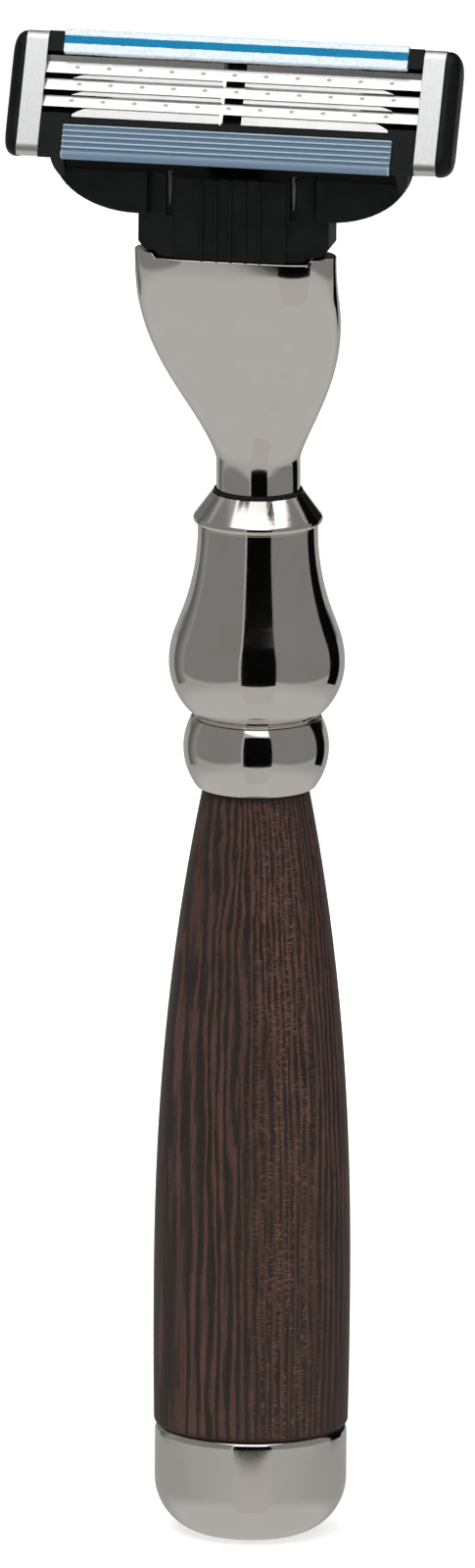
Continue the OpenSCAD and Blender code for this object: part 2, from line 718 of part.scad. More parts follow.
module blade_support(n) {
    half = blade_w / 2;
    front = platform_edge(n);
    back = blade_edge(n) + blade_strip * blade_dir + blade_t * blade_in;
    bend = front - [0, flange_len(n)];
    // Only the first support has a flange behind its blade
    rear = n == 1 ? [back + 0.66 * [-sin(25), cos(25)]] : [];
    leg = leg_height(n);
    slot_to = half + 1;
    slot_full = clip_x - 2.3;
    slot_top = front[1] - 0.04;
    color("lightgray") on_face() difference() {
        across(-half, half, sheet(concat(rear, [back, front, bend, [leg_end, bend[1]]]), blade_t));
        // The notch in the middle
        translate([-notch_w / 2, 0.2, leg - 0.3]) cube([notch_w, 4, slot_top - leg + 0.3]);
        if (n == 1) translate([-notch_w / 2, -1, back[1] + 0.12]) cube([notch_w, 2, 2]);
        // The last flange stops where the bar under it is high
        if (n == 3) for (side = [0, 1]) mirror([side, 0, 0])
            translate([low_bar - slide_gap, 0.2, leg - 0.3])
                cube([half, 4, window_low + end_step + slide_gap - leg + 0.3]);
        // The slots at both ends widen towards the clips
        for (side = [0, 1]) mirror([side, 0, 0]) translate([0, 4, 0]) rotate([90, 0, 0])
            linear_extrude(3.8) polygon(concat(
                [[slot_to, slot_top], [slot_from, slot_top], [slot_from, slot_top - 0.08]],
                [for (i = [0:6]) let (t = i / 6) [
                    slot_from + 0.4 + (slot_full - slot_from - 0.4) * t,
                    slot_top - 0.08 - (slot_top - leg) * t * t]],
                [[slot_to, leg - 0.08]]));
    }
}

module blade(n) {
    half = blade_w / 2;
    edge = blade_edge(n);
    back = edge + blade_strip * blade_dir;
    bevel = 0.3;
    color("whitesmoke") on_face() across(-half, half, [
        edge, edge + bevel * blade_dir + blade_t * blade_in, back + blade_t * blade_in, back]);
}

module blade_support_1() { blade_support(1); }
module blade_support_2() { blade_support(2); }
module blade_support_3() { blade_support(3); }
module blade_1() { blade(1); }
module blade_2() { blade(2); }
module blade_3() { blade(3); }

end_cap();
wood_grip();
tie_rod();
bead_ring();
lip_ring();
bell_ferrule();
collar();
neck_seal();
head_neck();
docking_post();
plunger();
plunger_spring();
connector();
housing();
guard_strip();
lubricating_strip();
lubricating_stripe();
clip_left();
clip_right();
blade_support_1();
blade_support_2();
blade_support_3();
blade_1();
blade_2();
blade_3();
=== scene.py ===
"""The finished cartridge razor: smooth pieces and their materials, standing on the CAD frame."""

import json
import math

import bmesh
import bpy
import numpy as np
from mathutils import Matrix, Vector


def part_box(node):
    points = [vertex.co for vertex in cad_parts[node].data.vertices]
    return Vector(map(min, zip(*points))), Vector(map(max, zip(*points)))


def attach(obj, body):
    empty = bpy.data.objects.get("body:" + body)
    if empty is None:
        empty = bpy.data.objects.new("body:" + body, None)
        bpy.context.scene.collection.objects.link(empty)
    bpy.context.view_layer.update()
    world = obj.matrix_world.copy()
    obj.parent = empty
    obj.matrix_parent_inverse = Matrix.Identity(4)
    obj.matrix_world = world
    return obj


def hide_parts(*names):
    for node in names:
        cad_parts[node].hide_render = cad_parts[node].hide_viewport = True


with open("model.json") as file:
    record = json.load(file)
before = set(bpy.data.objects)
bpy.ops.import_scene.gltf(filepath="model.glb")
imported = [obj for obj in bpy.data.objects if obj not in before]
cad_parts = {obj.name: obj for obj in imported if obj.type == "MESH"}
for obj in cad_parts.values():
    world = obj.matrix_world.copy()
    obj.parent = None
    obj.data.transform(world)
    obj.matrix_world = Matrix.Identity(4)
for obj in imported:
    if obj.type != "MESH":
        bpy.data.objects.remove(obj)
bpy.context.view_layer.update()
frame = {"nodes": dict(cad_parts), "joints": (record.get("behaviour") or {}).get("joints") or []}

# Lengths are in millimetres until a mesh is made
MM = 0.001
METRES = 1000.0

# The camera's direction from the razor, and how much it frames
CAMERA_AZIMUTH = 10.6
CAMERA_ELEVATION = 13.5
CAMERA_ROLL = 0.46
CAMERA_AWAY = 0.6
VIEW_HEIGHT = 143.0
VIEW_MIDDLE = 69.9
VIEW_LEFT = 1.68


# ---- Surfaces ----

def arc(x, y, r, a, b, n=24):
    """Points at equal angles on a circle's arc, from angle a to angle b in degrees."""
    t = np.radians(np.linspace(a, b, n + 1))
    return np.column_stack([x + r * np.cos(t), y + r * np.sin(t)])


def path(*parts):
    """One run of points from several points and arcs."""
    return np.vstack([np.atleast_2d(np.asarray(p, float)) for p in parts])


def grid_faces(rows, cols, wrap_rows=False, wrap_cols=True):
    """Four-sided faces between neighbouring rows and columns of a grid of points."""
    i = np.arange(rows if wrap_rows else rows - 1)[:, None]
    j = np.arange(cols if wrap_cols else cols - 1)[None, :]
    i2, j2 = (i + 1) % rows, (j + 1) % cols
    corners = [i * cols + j, i * cols + j2, i2 * cols + j2, i2 * cols + j]
    return np.stack([c.ravel() for c in corners], axis=1)


def tube(rings):
    """Rings of points joined in order; the first and last ring are closed by a fan to their middle."""
    rows, cols = rings.shape[:2]
    faces = grid_faces(rows, cols).tolist()
    points = np.vstack([rings.reshape(-1, 3), rings[0].mean(0), rings[-1].mean(0)])
    low, high = rows * cols, rows * cols + 1
    last = (rows - 1) * cols
    for j in range(cols):
        k = (j + 1) % cols
        faces.append([low, k, j])
        faces.append([high, last + j, last + k])
    return points, faces


def outward(points, faces):
    """The same closed shell with its faces turned outwards: the volume it encloses comes out positive."""
    f = np.array([q[:3] for q in faces] + [[q[0], q[k - 1], q[k]] for q in faces for k in range(3, len(q))])
    volume = np.einsum("ij,ij->i", points[f[:, 0]], np.cross(points[f[:, 1]], points[f[:, 2]])).sum()
    return points, faces if volume > 0 else [q[::-1] for q in faces]


def join(*shells):
    """Several closed shells as one list of points and faces."""
    points, faces, count = [], [], 0
    for p, f in shells:
        points.append(p)
        faces += [[i + count for i in q] for q in f]
        count += len(p)
    return np.vstack(points), faces


def turned(profile, sides=192):
    """A closed profile of radius and height carried once round the handle's axis."""
    t = np.linspace(0, 2 * math.pi, sides, endpoint=False)
    r, z = profile[:, :1], profile[:, 1:]
    rings = np.stack([r * np.cos(t), r * np.sin(t), np.broadcast_to(z, (len(z), sides))], axis=2)
    faces = grid_faces(len(r), sides, wrap_rows=True).tolist()
    return outward(rings.reshape(-1, 3), faces)


def rounded(x0, y0, x1, y1, r, n=12):
    """Points round a rectangle with rounded corners."""
    return path(arc(x1 - r, y1 - r, r, 0, 90, n), arc(x0 + r, y1 - r, r, 90, 180, n),
                arc(x0 + r, y0 + r, r, 180, 270, n), arc(x1 - r, y0 + r, r, 270, 360, n))


def smooth_noise(shape, cell, seed):
    """Random heights on a grid, blurred by a bell curve of cell points and scaled to a spread of one."""
    rng = np.random.default_rng(seed)
    spectrum = np.fft.rfft2(rng.standard_normal(shape))
    u = np.fft.fftfreq(shape[0])[:, None]
    v = np.fft.rfftfreq(shape[1])[None, :]
    spectrum *= np.exp(-2 * (math.pi ** 2) * ((u * cell[0]) ** 2 + (v * cell[1]) ** 2))
    height = np.fft.irfft2(spectrum, s=shape)
    return height / height.std()


def added(name, data):
    """A new object in the scene."""
    made = bpy.data.objects.new(name, data)
    bpy.context.scene.collection.objects.link(made)
    return made


def piece(name, shell, body, material, stands_for=(), sharp=38.0):
    """Makes a shell into a shaded piece that rides on a body and stands for CAD nodes."""
    points, faces = shell
    mesh = bpy.data.meshes.new(name)
    mesh.from_pydata((np.asarray(points) * MM).tolist(), [], faces)
    mesh.polygons.foreach_set("use_smooth", np.ones(len(mesh.polygons), bool))
    mesh.set_sharp_from_angle(angle=math.radians(sharp))
    mesh.materials.append(material)
    made = added(name, mesh)
    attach(made, body)
    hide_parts(*stands_for)
    return made


def bevelled(made, width, segments=3, angle=35.0):
    """Rounds a piece's sharp edges."""
    bevel = made.modifiers.new("edges", "BEVEL")
    bevel.width = width * MM
    bevel.segments = segments
    bevel.limit_method = "ANGLE"
    bevel.angle_limit = math.radians(angle)
    bevel.harden_normals = True
    return made


def cad_shape(node_name):
    """A CAD node's mesh opened for editing, with doubled points merged."""
    shape = bmesh.new()
    shape.from_mesh(frame["nodes"][node_name].data)
    bmesh.ops.remove_doubles(shape, verts=shape.verts, dist=2e-6)
    return shape


def closed_up(shape):
    """An edited mesh as points and faces, with flat faces joined and all faces outwards."""
    bmesh.ops.dissolve_limit(shape, angle_limit=math.radians(0.5), verts=shape.verts, edges=shape.edges)
    bmesh.ops.recalc_face_normals(shape, faces=shape.faces)
    shape.verts.ensure_lookup_table()
    points = np.array([v.co for v in shape.verts]) * METRES
    faces = [[v.index for v in f.verts] for f in shape.faces]
    shape.free()
    return points, faces


def copied(node_name):
    """A CAD node's shape as points and faces."""
    return closed_up(cad_shape(node_name))


# ---- Materials ----

def feed(tree, socket, value):
    if isinstance(value, bpy.types.NodeSocket):
        tree.links.new(value, socket)
    else:
        socket.default_value = value


def node(tree, kind, inputs=None, **settings):
    """Adds a node, sets it, and joins or sets its inputs by name or number."""
    made = tree.nodes.new("ShaderNode" + kind)
    for key, value in settings.items():
        setattr(made, key, value)
    for key, value in (inputs or {}).items():
        feed(tree, made.inputs[key], value)
    return made


def math_node(tree, operation, *values):
    return node(tree, "Math", dict(enumerate(values)), operation=operation).outputs[0]


def blended(tree, share, first, second):
    """A number that goes from the first to the second with the share."""
    rest = math_node(tree, "SUBTRACT", 1.0, share)
    return math_node(tree, "ADD", math_node(tree, "MULTIPLY", first, rest),
                     math_node(tree, "MULTIPLY", share, second))


def smoothly(tree, value, start, stop, low=0.0, high=1.0):
    """A smooth step of a value from low at start to high at stop."""
    made = node(tree, "MapRange", {"Value": value, 1: start, 2: stop, 3: low, 4: high},
                interpolation_type="SMOOTHSTEP")
    return made.outputs[0]


def object_place(tree, scale=(1, 1, 1), turn=0.0, tilt=0.0):
    """The piece's own coordinates in millimetres, turned about the handle's axis, tilted, then scaled."""
    place = node(tree, "TexCoord").outputs["Object"]
    turned_place = node(tree, "Mapping", {
        "Vector": place, "Rotation": (math.radians(tilt), 0, math.radians(turn)), "Scale": (METRES,) * 3})
    return node(tree, "Mapping", {"Vector": turned_place.outputs[0], "Scale": scale}).outputs[0]


def noise(tree, place, scale, detail=2.0, roughness=0.5, distortion=0.0):
    return node(tree, "TexNoise", {"Vector": place, "Scale": scale, "Detail": detail,
                                   "Roughness": roughness, "Distortion": distortion}).outputs["Fac"]


def ramp(tree, value, *stops):
    """Colours at places from 0 to 1."""
    made = node(tree, "ValToRGB", {"Fac": value})
    elements = made.color_ramp.elements
    for n, (at, colour) in enumerate(stops):
        element = elements[n] if n < 2 else elements.new(at)
        element.position = at
        element.color = (*colour, 1)
    return made.outputs[0]


def mixed(tree, share, first, second, blend="MIX"):
    made = node(tree, "Mix", data_type="RGBA", blend_type=blend)
    for index, value in ((0, share), (6, first), (7, second)):
        if isinstance(value, tuple):
            value = (*value, 1)
        feed(tree, made.inputs[index], value)
    return made.outputs[2]


def bump(tree, height, distance, under=None):
    inputs = {"Height": height, "Distance": distance * MM}
    if under is not None:
        inputs["Normal"] = under
    return node(tree, "Bump", inputs).outputs[0]


def look(name, colour, **sockets):
    """A new material: its node tree, its shader and itself."""
    material = bpy.data.materials.new(name)
    material.use_nodes = True
    tree = material.node_tree
    shader = tree.nodes["Principled BSDF"]
    shader.inputs["Base Color"].default_value = (*colour, 1)
    for key, value in sockets.items():
        shader.inputs[key.replace("_", " ")].default_value = value
    return material, tree, shader


def chrome_look(name, turning=0.0):
    """Polished chrome: fine wavering of the polish, faint wiping marks, and turning lines where asked."""
    material, tree, shader = look(name, (0.8, 0.79, 0.74), Metallic=1.0)
    place = object_place(tree)
    cloud = noise(tree, place, 0.35, 3.0)
    wipe = noise(tree, object_place(tree, (1, 1, 6), 0, 12), 2.2, 4.0, 0.7)
    grain = noise(tree, place, 14.0, 2.0)
    polish = math_node(tree, "ADD", smoothly(tree, wipe, 0.45, 0.8, 0.05, 0.1),
                       smoothly(tree, cloud, 0.35, 0.7, 0.0, 0.03))
    feed(tree, shader.inputs["Roughness"], polish)
    colour = ramp(tree, cloud, (0.3, (0.8, 0.77, 0.73)), (0.7, (0.835, 0.81, 0.78)))
    feed(tree, shader.inputs["Base Color"], colour)
    normal = bump(tree, grain, 0.0006)
    if turning:
        lines = noise(tree, object_place(tree, (0.08, 0.08, 9)), 1.0, 3.0, 0.75)
        normal = bump(tree, lines, turning, normal)
    feed(tree, shader.inputs["Normal"], normal)
    return material


def wenge_look():
    """Wenge: upright layers, dark and red-brown, with granular edges, long pores and short cross flecks."""
    material, tree, shader = look("wenge", (0.05, 0.03, 0.02), Roughness=0.42)
    turn = -32
    layers = object_place(tree, turn=turn)
    level = node(tree, "VectorMath", {0: layers, 1: (1, 1, 0)}, operation="MULTIPLY").outputs[0]
    radial = node(tree, "VectorMath", {0: level}, operation="NORMALIZE").outputs[0]
    # The layers follow the grip's round more than they cut through it, so they stay upright
    straight = node(tree, "SeparateXYZ", {0: layers}).outputs[0]
    square = node(tree, "SeparateXYZ", {0: radial}).outputs[0]
    across = math_node(tree, "ADD", math_node(tree, "MULTIPLY", straight, 0.35),
                       math_node(tree, "MULTIPLY", square, 5.2))
    waver = noise(tree, object_place(tree, (0.3, 0.3, 0.03), turn), 1.0, 2.0, 0.5)
    ripple = noise(tree, object_place(tree, (1.4, 1.4, 0.11), turn), 1.0, 3.0, 0.6)
    phase = math_node(tree, "MULTIPLY", across, 1.5)
    phase = math_node(tree, "ADD", phase, math_node(tree, "MULTIPLY", waver, 2.6))
    phase = math_node(tree, "ADD", phase, math_node(tree, "MULTIPLY", ripple, 1.3))
    wave = math_node(tree, "SINE", math_node(tree, "MULTIPLY", phase, 2 * math.pi))
    wave = math_node(tree, "ADD", math_node(tree, "MULTIPLY", wave, 0.5), 0.5)
    streak = noise(tree, object_place(tree, (4.5, 4.5, 0.09), turn), 1.0, 4.0, 0.65)
    speckle = noise(tree, object_place(tree, (7.5, 7.5, 3.2), turn), 1.0, 3.0, 0.7)
    band = math_node(tree, "ADD", math_node(tree, "MULTIPLY", wave, 0.3),
                     math_node(tree, "MULTIPLY", streak, 0.5))
    band = math_node(tree, "ADD", band, math_node(tree, "MULTIPLY", speckle, 0.34))
    colour = ramp(tree, band,
                  (0.38, (0.015, 0.0115, 0.01)), (0.86, (0.105, 0.046, 0.032)),
                  (0.53, (0.022, 0.0145, 0.012)), (0.64, (0.056, 0.027, 0.02)))
    tone = noise(tree, object_place(tree, (0.14, 0.14, 0.03)), 1.0, 2.0)
    colour = mixed(tree, smoothly(tree, tone, 0.35, 0.7, 0.0, 0.5), colour, (0.028, 0.018, 0.0145))
    # Rays show as columns of short cross flecks where the layers meet the surface squarely
    squarely = smoothly(tree, math_node(tree, "ABSOLUTE", square), 0.62, 0.1)
    fleck = noise(tree, object_place(tree, (1.5, 1.5, 8.5), turn), 1.0, 2.0, 0.6)
    ladder = noise(tree, object_place(tree, (2.4, 2.4, 0.18), turn), 1.0, 1.0)
    fleck = math_node(tree, "MULTIPLY", smoothly(tree, fleck, 0.5, 0.6), smoothly(tree, ladder, 0.42, 0.55))
    fleck = math_node(tree, "MULTIPLY", fleck, squarely)
    colour = mixed(tree, math_node(tree, "MULTIPLY", fleck, 0.6), colour, (0.15, 0.07, 0.046))
    pore = noise(tree, object_place(tree, (9, 9, 0.55)), 1.0, 2.0, 0.6)
    pores = smoothly(tree, pore, 0.64, 0.72)
    colour = mixed(tree, math_node(tree, "MULTIPLY", pores, 0.65), colour, (0.012, 0.009, 0.008))
    # A painted shadow darkens the wood just under the bead, and the wood is also darker just above its seam
    # with the cap; its spigot reaches below the seam with the cap
    foot, top = (corner.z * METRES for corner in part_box("wood_grip"))
    seam = foot + 2.0
    height = node(tree, "SeparateXYZ", {0: object_place(tree)}).outputs[2]
    under = smoothly(tree, height, top - 1.0, top - 0.1)
    over = smoothly(tree, height, seam + 0.7, seam + 0.2)
    colour = mixed(tree, math_node(tree, "MULTIPLY", math_node(tree, "MAXIMUM", under, over), 0.7),
                   colour, (0.012, 0.006, 0.005))
    feed(tree, shader.inputs["Base Color"], colour)
    shader.inputs["Specular IOR Level"].default_value = 0.22
    feed(tree, shader.inputs["Roughness"], smoothly(tree, band, 0.3, 0.8, 0.38, 0.52))
    fine = noise(tree, object_place(tree, (12, 12, 1.2)), 1.0, 3.0, 0.6)
    normal = bump(tree, fine, 0.006)
    normal = bump(tree, math_node(tree, "SUBTRACT", 1.0, pores), 0.014, normal)
    feed(tree, shader.inputs["Normal"], normal)
    return material


def plastic_look(name, colour, roughness, pale=1.6, texture=0.003):
    """Moulded plastic: a fine even texture, and a slightly paler, rougher bloom in places."""
    material, tree, shader = look(name, colour, Roughness=roughness, Specular_IOR_Level=0.16)
    place = object_place(tree)
    bloom = noise(tree, place, 0.5, 4.0, 0.6)
    grain = noise(tree, place, 18.0, 2.0)
    paler = tuple(min(1.0, c * pale) for c in colour)
    feed(tree, shader.inputs["Base Color"], ramp(tree, bloom, (0.35, colour), (0.75, paler)))
    feed(tree, shader.inputs["Roughness"],
         smoothly(tree, bloom, 0.3, 0.7, roughness - 0.05, roughness + 0.08))
    feed(tree, shader.inputs["Normal"], bump(tree, grain, texture))
    return material


def steel_look(name, colour, roughness, lines, depth=0.001):
    """Rolled steel: fine lines along the sheet, and a cloudy change of polish."""
    material, tree, shader = look(name, colour, Metallic=1.0)
    rolled = noise(tree, object_place(tree, lines), 1.5, 4.0, 0.7)
    cloud = noise(tree, object_place(tree), 0.6, 2.0)
    feed(tree, shader.inputs["Roughness"], math_node(
        tree, "ADD", smoothly(tree, rolled, 0.3, 0.7, roughness - 0.05, roughness + 0.06),
        smoothly(tree, cloud, 0.4, 0.7, 0.0, 0.04)))
    darker = tuple(c * 0.86 for c in colour)
    feed(tree, shader.inputs["Base Color"], ramp(tree, rolled, (0.3, darker), (0.62, colour)))
    feed(tree, shader.inputs["Normal"], bump(tree, rolled, depth))
    return material


def marked(tree, name):
    return node(tree, "Attribute", attribute_name=name, attribute_type="GEOMETRY").outputs["Fac"]


def blade_look():
    """Blade steel: bright rolled strip whose weld spots are darker and duller."""
    material, tree, shader = look("blade_steel", (0.93, 0.92, 0.9), Metallic=1.0)
    rolled = noise(tree, object_place(tree, (0.05, 8, 8)), 1.5, 4.0, 0.7)
    spot = marked(tree, "weld")
    bevel = marked(tree, "ground")
    colour = ramp(tree, rolled, (0.3, (0.84, 0.82, 0.79)), (0.6, (0.95, 0.94, 0.92)))
    colour = mixed(tree, math_node(tree, "MULTIPLY", spot, 0.75), colour, (0.36, 0.33, 0.31))
    colour = mixed(tree, math_node(tree, "MULTIPLY", bevel, 0.5), colour, (0.97, 0.97, 0.97))
    feed(tree, shader.inputs["Base Color"], colour)
    base = smoothly(tree, rolled, 0.3, 0.7, 0.2, 0.3)
    duller = math_node(tree, "MULTIPLY", spot, 0.2)
    feed(tree, shader.inputs["Roughness"], math_node(tree, "ADD", base, duller))
    feed(tree, shader.inputs["Normal"], bump(tree, rolled, 0.0008))
    return material


def guard_look():
    """The guard's soft blue rubber, with painted light: a painted highlight on the fins' ridges, so the
    grooves look darker.
    """
    material, tree, shader = look("guard_rubber", (0.2, 0.33, 0.5), Roughness=0.5)
    crest = marked(tree, "crest")
    cloud = noise(tree, object_place(tree), 1.1, 4.0, 0.6)
    grain = noise(tree, object_place(tree), 16.0, 2.0)
    # Grooves, lower band and fins' ridges in rising painted highlight
    colour = ramp(tree, crest, (0.0, (0.1, 0.16, 0.24)), (1.0, (0.36, 0.48, 0.55)),
                  (0.5, (0.105, 0.165, 0.235)))
    colour = mixed(tree, smoothly(tree, cloud, 0.4, 0.8, 0.0, 0.25), colour, (0.13, 0.2, 0.28))
    feed(tree, shader.inputs["Base Color"], colour)
    feed(tree, shader.inputs["Roughness"], smoothly(tree, cloud, 0.3, 0.7, 0.42, 0.55))
    feed(tree, shader.inputs["Normal"], bump(tree, grain, 0.004))
    return material


def strip_look(name, colour, dark, sheen):
    """The dry lubricating strip: chalky, porous and slightly fuzzy."""
    material, tree, shader = look(name, colour, Roughness=0.75)
    place = object_place(tree)
    chalk = noise(tree, place, 3.2, 6.0, 0.7)
    pits = noise(tree, place, 11.0, 3.0, 0.65)
    feed(tree, shader.inputs["Base Color"], ramp(tree, chalk, (0.25, dark), (0.6, colour)))
    feed(tree, shader.inputs["Roughness"], smoothly(tree, chalk, 0.3, 0.7, 0.7, 0.85))
    feed(tree, shader.inputs["Normal"], bump(tree, pits, 0.02))
    shader.inputs["Specular IOR Level"].default_value = 0.2
    shader.inputs["Sheen Weight"].default_value = sheen
    shader.inputs["Sheen Roughness"].default_value = 0.6
    return material


def clip_look():
    """Anodised aluminium: pale and satin, with short brushed lines along the band."""
    material, tree, shader = look("clip_aluminium", (0.88, 0.885, 0.89), Metallic=1.0)
    brushed = noise(tree, object_place(tree, (9, 0.9, 0.9)), 1.6, 5.0, 0.75)
    speck = noise(tree, object_place(tree), 9.0, 3.0, 0.6)
    colour = ramp(tree, brushed, (0.3, (0.76, 0.765, 0.775)), (0.62, (0.9, 0.905, 0.91)))
    feed(tree, shader.inputs["Base Color"], colour)
    feed(tree, shader.inputs["Roughness"], smoothly(tree, speck, 0.3, 0.7, 0.3, 0.44))
    feed(tree, shader.inputs["Normal"], bump(tree, brushed, 0.004, bump(tree, speck, 0.002)))
    return material


CHROME = chrome_look("chrome")
TURNED_CHROME = chrome_look("turned_chrome", turning=0.003)
WENGE = wenge_look()
SEAL = plastic_look("seal_rubber", (0.007, 0.007, 0.0075), 0.5)
FRAME_PLASTIC = plastic_look("frame_plastic", (0.0035, 0.004, 0.004), 0.36)
CONNECTOR_PLASTIC = plastic_look("connector_plastic", (0.0045, 0.0055, 0.0055), 0.44, texture=0.005)
DOCK_PLASTIC = plastic_look("dock_plastic", (0.008, 0.0085, 0.0085), 0.4)
GUARD = guard_look()
STRIP_WHITE = strip_look("strip_white", (0.7, 0.78, 0.82), (0.5, 0.6, 0.68), 0.15)
STRIP_BLUE = strip_look("strip_blue", (0.004, 0.19, 0.36), (0.003, 0.13, 0.28), 0.0)
CLIP = clip_look()
SUPPORT_STEEL = steel_look("support_steel", (0.9, 0.89, 0.87), 0.25, (0.05, 3, 3), 0.0002)
BLADE_STEEL = blade_look()
ROD_STEEL = steel_look("rod_steel", (0.56, 0.55, 0.53), 0.35, (1, 1, 8), 0.002)
SPRING_STEEL = steel_look("spring_steel", (0.6, 0.59, 0.57), 0.25, (4, 4, 4))


def finish_cad(node_name, material):
    """Gives a CAD node its finished material."""
    mesh = frame["nodes"][node_name].data
    mesh.materials.clear()
    mesh.materials.append(material)


# ---- Handle ----

def size_of(node_name):
    """A turned CAD node's greatest radius and its top, in millimetres."""
    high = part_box(node_name)[1]
    return high.x * METRES, high.z * METRES


cap_r, cap_top = size_of("end_cap")
grip_r, bead_z = size_of("wood_grip")
bead_r, lip_z = size_of("bead_ring")
lip_r, bell_z = size_of("lip_ring")
bell_r, collar_z = size_of("bell_ferrule")
collar_r, seal_z = size_of("collar")
seal_r, head_z = size_of("neck_seal")
rod_r = size_of("tie_rod")[0]
STUD_R = 2.0

# The end cap: a foot with a wide round, a wall, and a thin bright bevel under the wood
CAP_ROUND = 5.2
CAP_BEVEL = 0.8
CAP_TURN = 50
SPIGOT_R = 6.0
SPIGOT_LEN = 2.0
ROD_IN_CAP = 7.0
bevel_z = cap_top - CAP_BEVEL * math.sin(math.radians(CAP_TURN))
cap_profile = path(
    [0.02, 0], [cap_r - CAP_ROUND - 0.5, 0],
    arc(cap_r - CAP_ROUND, CAP_ROUND, CAP_ROUND, -90, 0, 48),
    arc(cap_r - CAP_BEVEL, bevel_z, CAP_BEVEL, 0, CAP_TURN, 16),
    [SPIGOT_R, cap_top], [SPIGOT_R, cap_top - SPIGOT_LEN],
    [rod_r, cap_top - SPIGOT_LEN], [rod_r, cap_top - ROD_IN_CAP], [0.02, cap_top - ROD_IN_CAP])
piece("end_cap_shell", turned(cap_profile), "handle", CHROME, ["end_cap"])

# The grip: it swells a little above the cap, then narrows to the bead by a power of the height
GRIP_BELLY = 12.9
GRIP_END_R = 8.85
GRIP_TOP_R = 4.8
GRIP_POWER = 2.23
GRIP_EDGE = 0.45
grip_len = bead_z - cap_top


def grip_radius(h):
    """Below the belly the radius falls with the square of the distance from it; above, with its power."""
    low = grip_r - (grip_r - GRIP_END_R) * (1 - np.minimum(h, GRIP_BELLY) / GRIP_BELLY) ** 2
    rest = np.maximum(h - GRIP_BELLY, 0) / (grip_len - GRIP_BELLY)
    return low - (grip_r - GRIP_TOP_R) * rest ** GRIP_POWER


heights = np.linspace(GRIP_EDGE + 0.1, grip_len - 0.08, 150)
grip_profile = path(
    [rod_r, cap_top - SPIGOT_LEN], [SPIGOT_R, cap_top - SPIGOT_LEN], [SPIGOT_R, cap_top],
    [GRIP_END_R - GRIP_EDGE, cap_top],
    arc(GRIP_END_R - GRIP_EDGE, cap_top + 0.1 + GRIP_EDGE, GRIP_EDGE, -78, 0, 8),
    np.column_stack([grip_radius(heights), cap_top + heights]),
    [GRIP_TOP_R - 0.1, bead_z], [rod_r, bead_z])
piece("wood_grip_shell", turned(grip_profile, 256), "handle", WENGE, ["wood_grip"])

# The bead: one round outside between two narrow flats
BEAD_ROUND = 6.0
BEAD_BELLY = 3.6
low_turn = math.degrees(math.asin(BEAD_BELLY / BEAD_ROUND))
high_turn = math.degrees(math.asin((lip_z - bead_z - BEAD_BELLY) / BEAD_ROUND))
bead_profile = path(
    [rod_r, bead_z],
    arc(bead_r - BEAD_ROUND, bead_z + BEAD_BELLY, BEAD_ROUND, -low_turn, high_turn, 72),
    [rod_r, lip_z])
piece("bead", turned(bead_profile), "handle", CHROME, ["bead_ring"])

lip_h = bell_z - lip_z
lip_profile = path(
    [rod_r, lip_z], arc(lip_r - lip_h / 2, lip_z + lip_h / 2, lip_h / 2, -90, 90, 16), [rod_r, bell_z])
piece("lip_disc", turned(lip_profile), "handle", CHROME, ["lip_ring"])

# The bell: a groove, a round foot, a shoulder, a straight slope and a waist that meets the rim
GROOVE_H = 0.3
GROOVE_R = 5.1
BELL_TOP_R = 5.5
BELL_BELLY = 4.8
BELL_UNDER = 6.4
BELL_SHOULDER = 8.5
BELL_SLOPE = 20.5
BELL_RIM = 0.5
slope = math.radians(BELL_SLOPE)
rise = collar_z - bell_z - BELL_BELLY - BELL_RIM
flare = bell_r - BELL_TOP_R
waist = (rise * math.sin(slope) - flare * math.cos(slope)) / (1 - math.cos(slope)) - BELL_SHOULDER
belly = bell_z + BELL_BELLY
foot_turn = math.degrees(math.asin((BELL_BELLY - GROOVE_H) / BELL_UNDER))
bell_profile = path(
    [rod_r, bell_z], [GROOVE_R, bell_z], [GROOVE_R, bell_z + GROOVE_H],
    arc(bell_r - BELL_UNDER, belly, BELL_UNDER, -foot_turn, 0, 48),
    arc(bell_r - BELL_SHOULDER, belly, BELL_SHOULDER, 0.5, BELL_SLOPE, 32),
    arc(BELL_TOP_R + waist, belly + rise, waist, 180 + BELL_SLOPE, 180, 48),
    [BELL_TOP_R, collar_z - 0.04], [BELL_TOP_R - 0.04, collar_z], [rod_r, collar_z])
piece("bell", turned(bell_profile), "handle", CHROME, ["bell_ferrule"])

# The collar: a rounded rim and a straight chamfer up to the seal
COLLAR_RIM = 0.9
COLLAR_TOP_R = 4.2
COLLAR_STEP = 0.1
rim = COLLAR_RIM / 2
collar_profile = path(
    [STUD_R, collar_z], [BELL_TOP_R - 0.1, collar_z], [BELL_TOP_R - 0.1, collar_z + COLLAR_STEP],
    arc(collar_r - rim, collar_z + COLLAR_STEP + rim, rim, -90, 42, 28),
    [COLLAR_TOP_R + 0.06, seal_z - 0.06], [COLLAR_TOP_R, seal_z], [STUD_R, seal_z])
piece("collar_ring", turned(collar_profile, 256), "handle", TURNED_CHROME, ["collar"])

seal_h = head_z - seal_z
seal_profile = path(
    [STUD_R, seal_z], arc(seal_r - seal_h / 2, seal_z + seal_h / 2, seal_h / 2, -90, 90, 12),
    [STUD_R, head_z])
piece("seal_ring", turned(seal_profile), "handle", SEAL, ["neck_seal"])

# ---- Head ----

NECK_R = 3.84
top_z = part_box("head_neck")[1].z * METRES
head_h = top_z - head_z
post_low, post_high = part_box("docking_post")
head_forward = -(post_low.y + post_high.y) / 2 * METRES
HEAD_W = 18.7
WIDEN_FROM = 2.8
WIDEN_SHARE = 0.72
WIDEN_POWER = 0.66
THIN_SHARE = 0.45
FLAT_FROM = 3
FLAT_OVER = 0.6
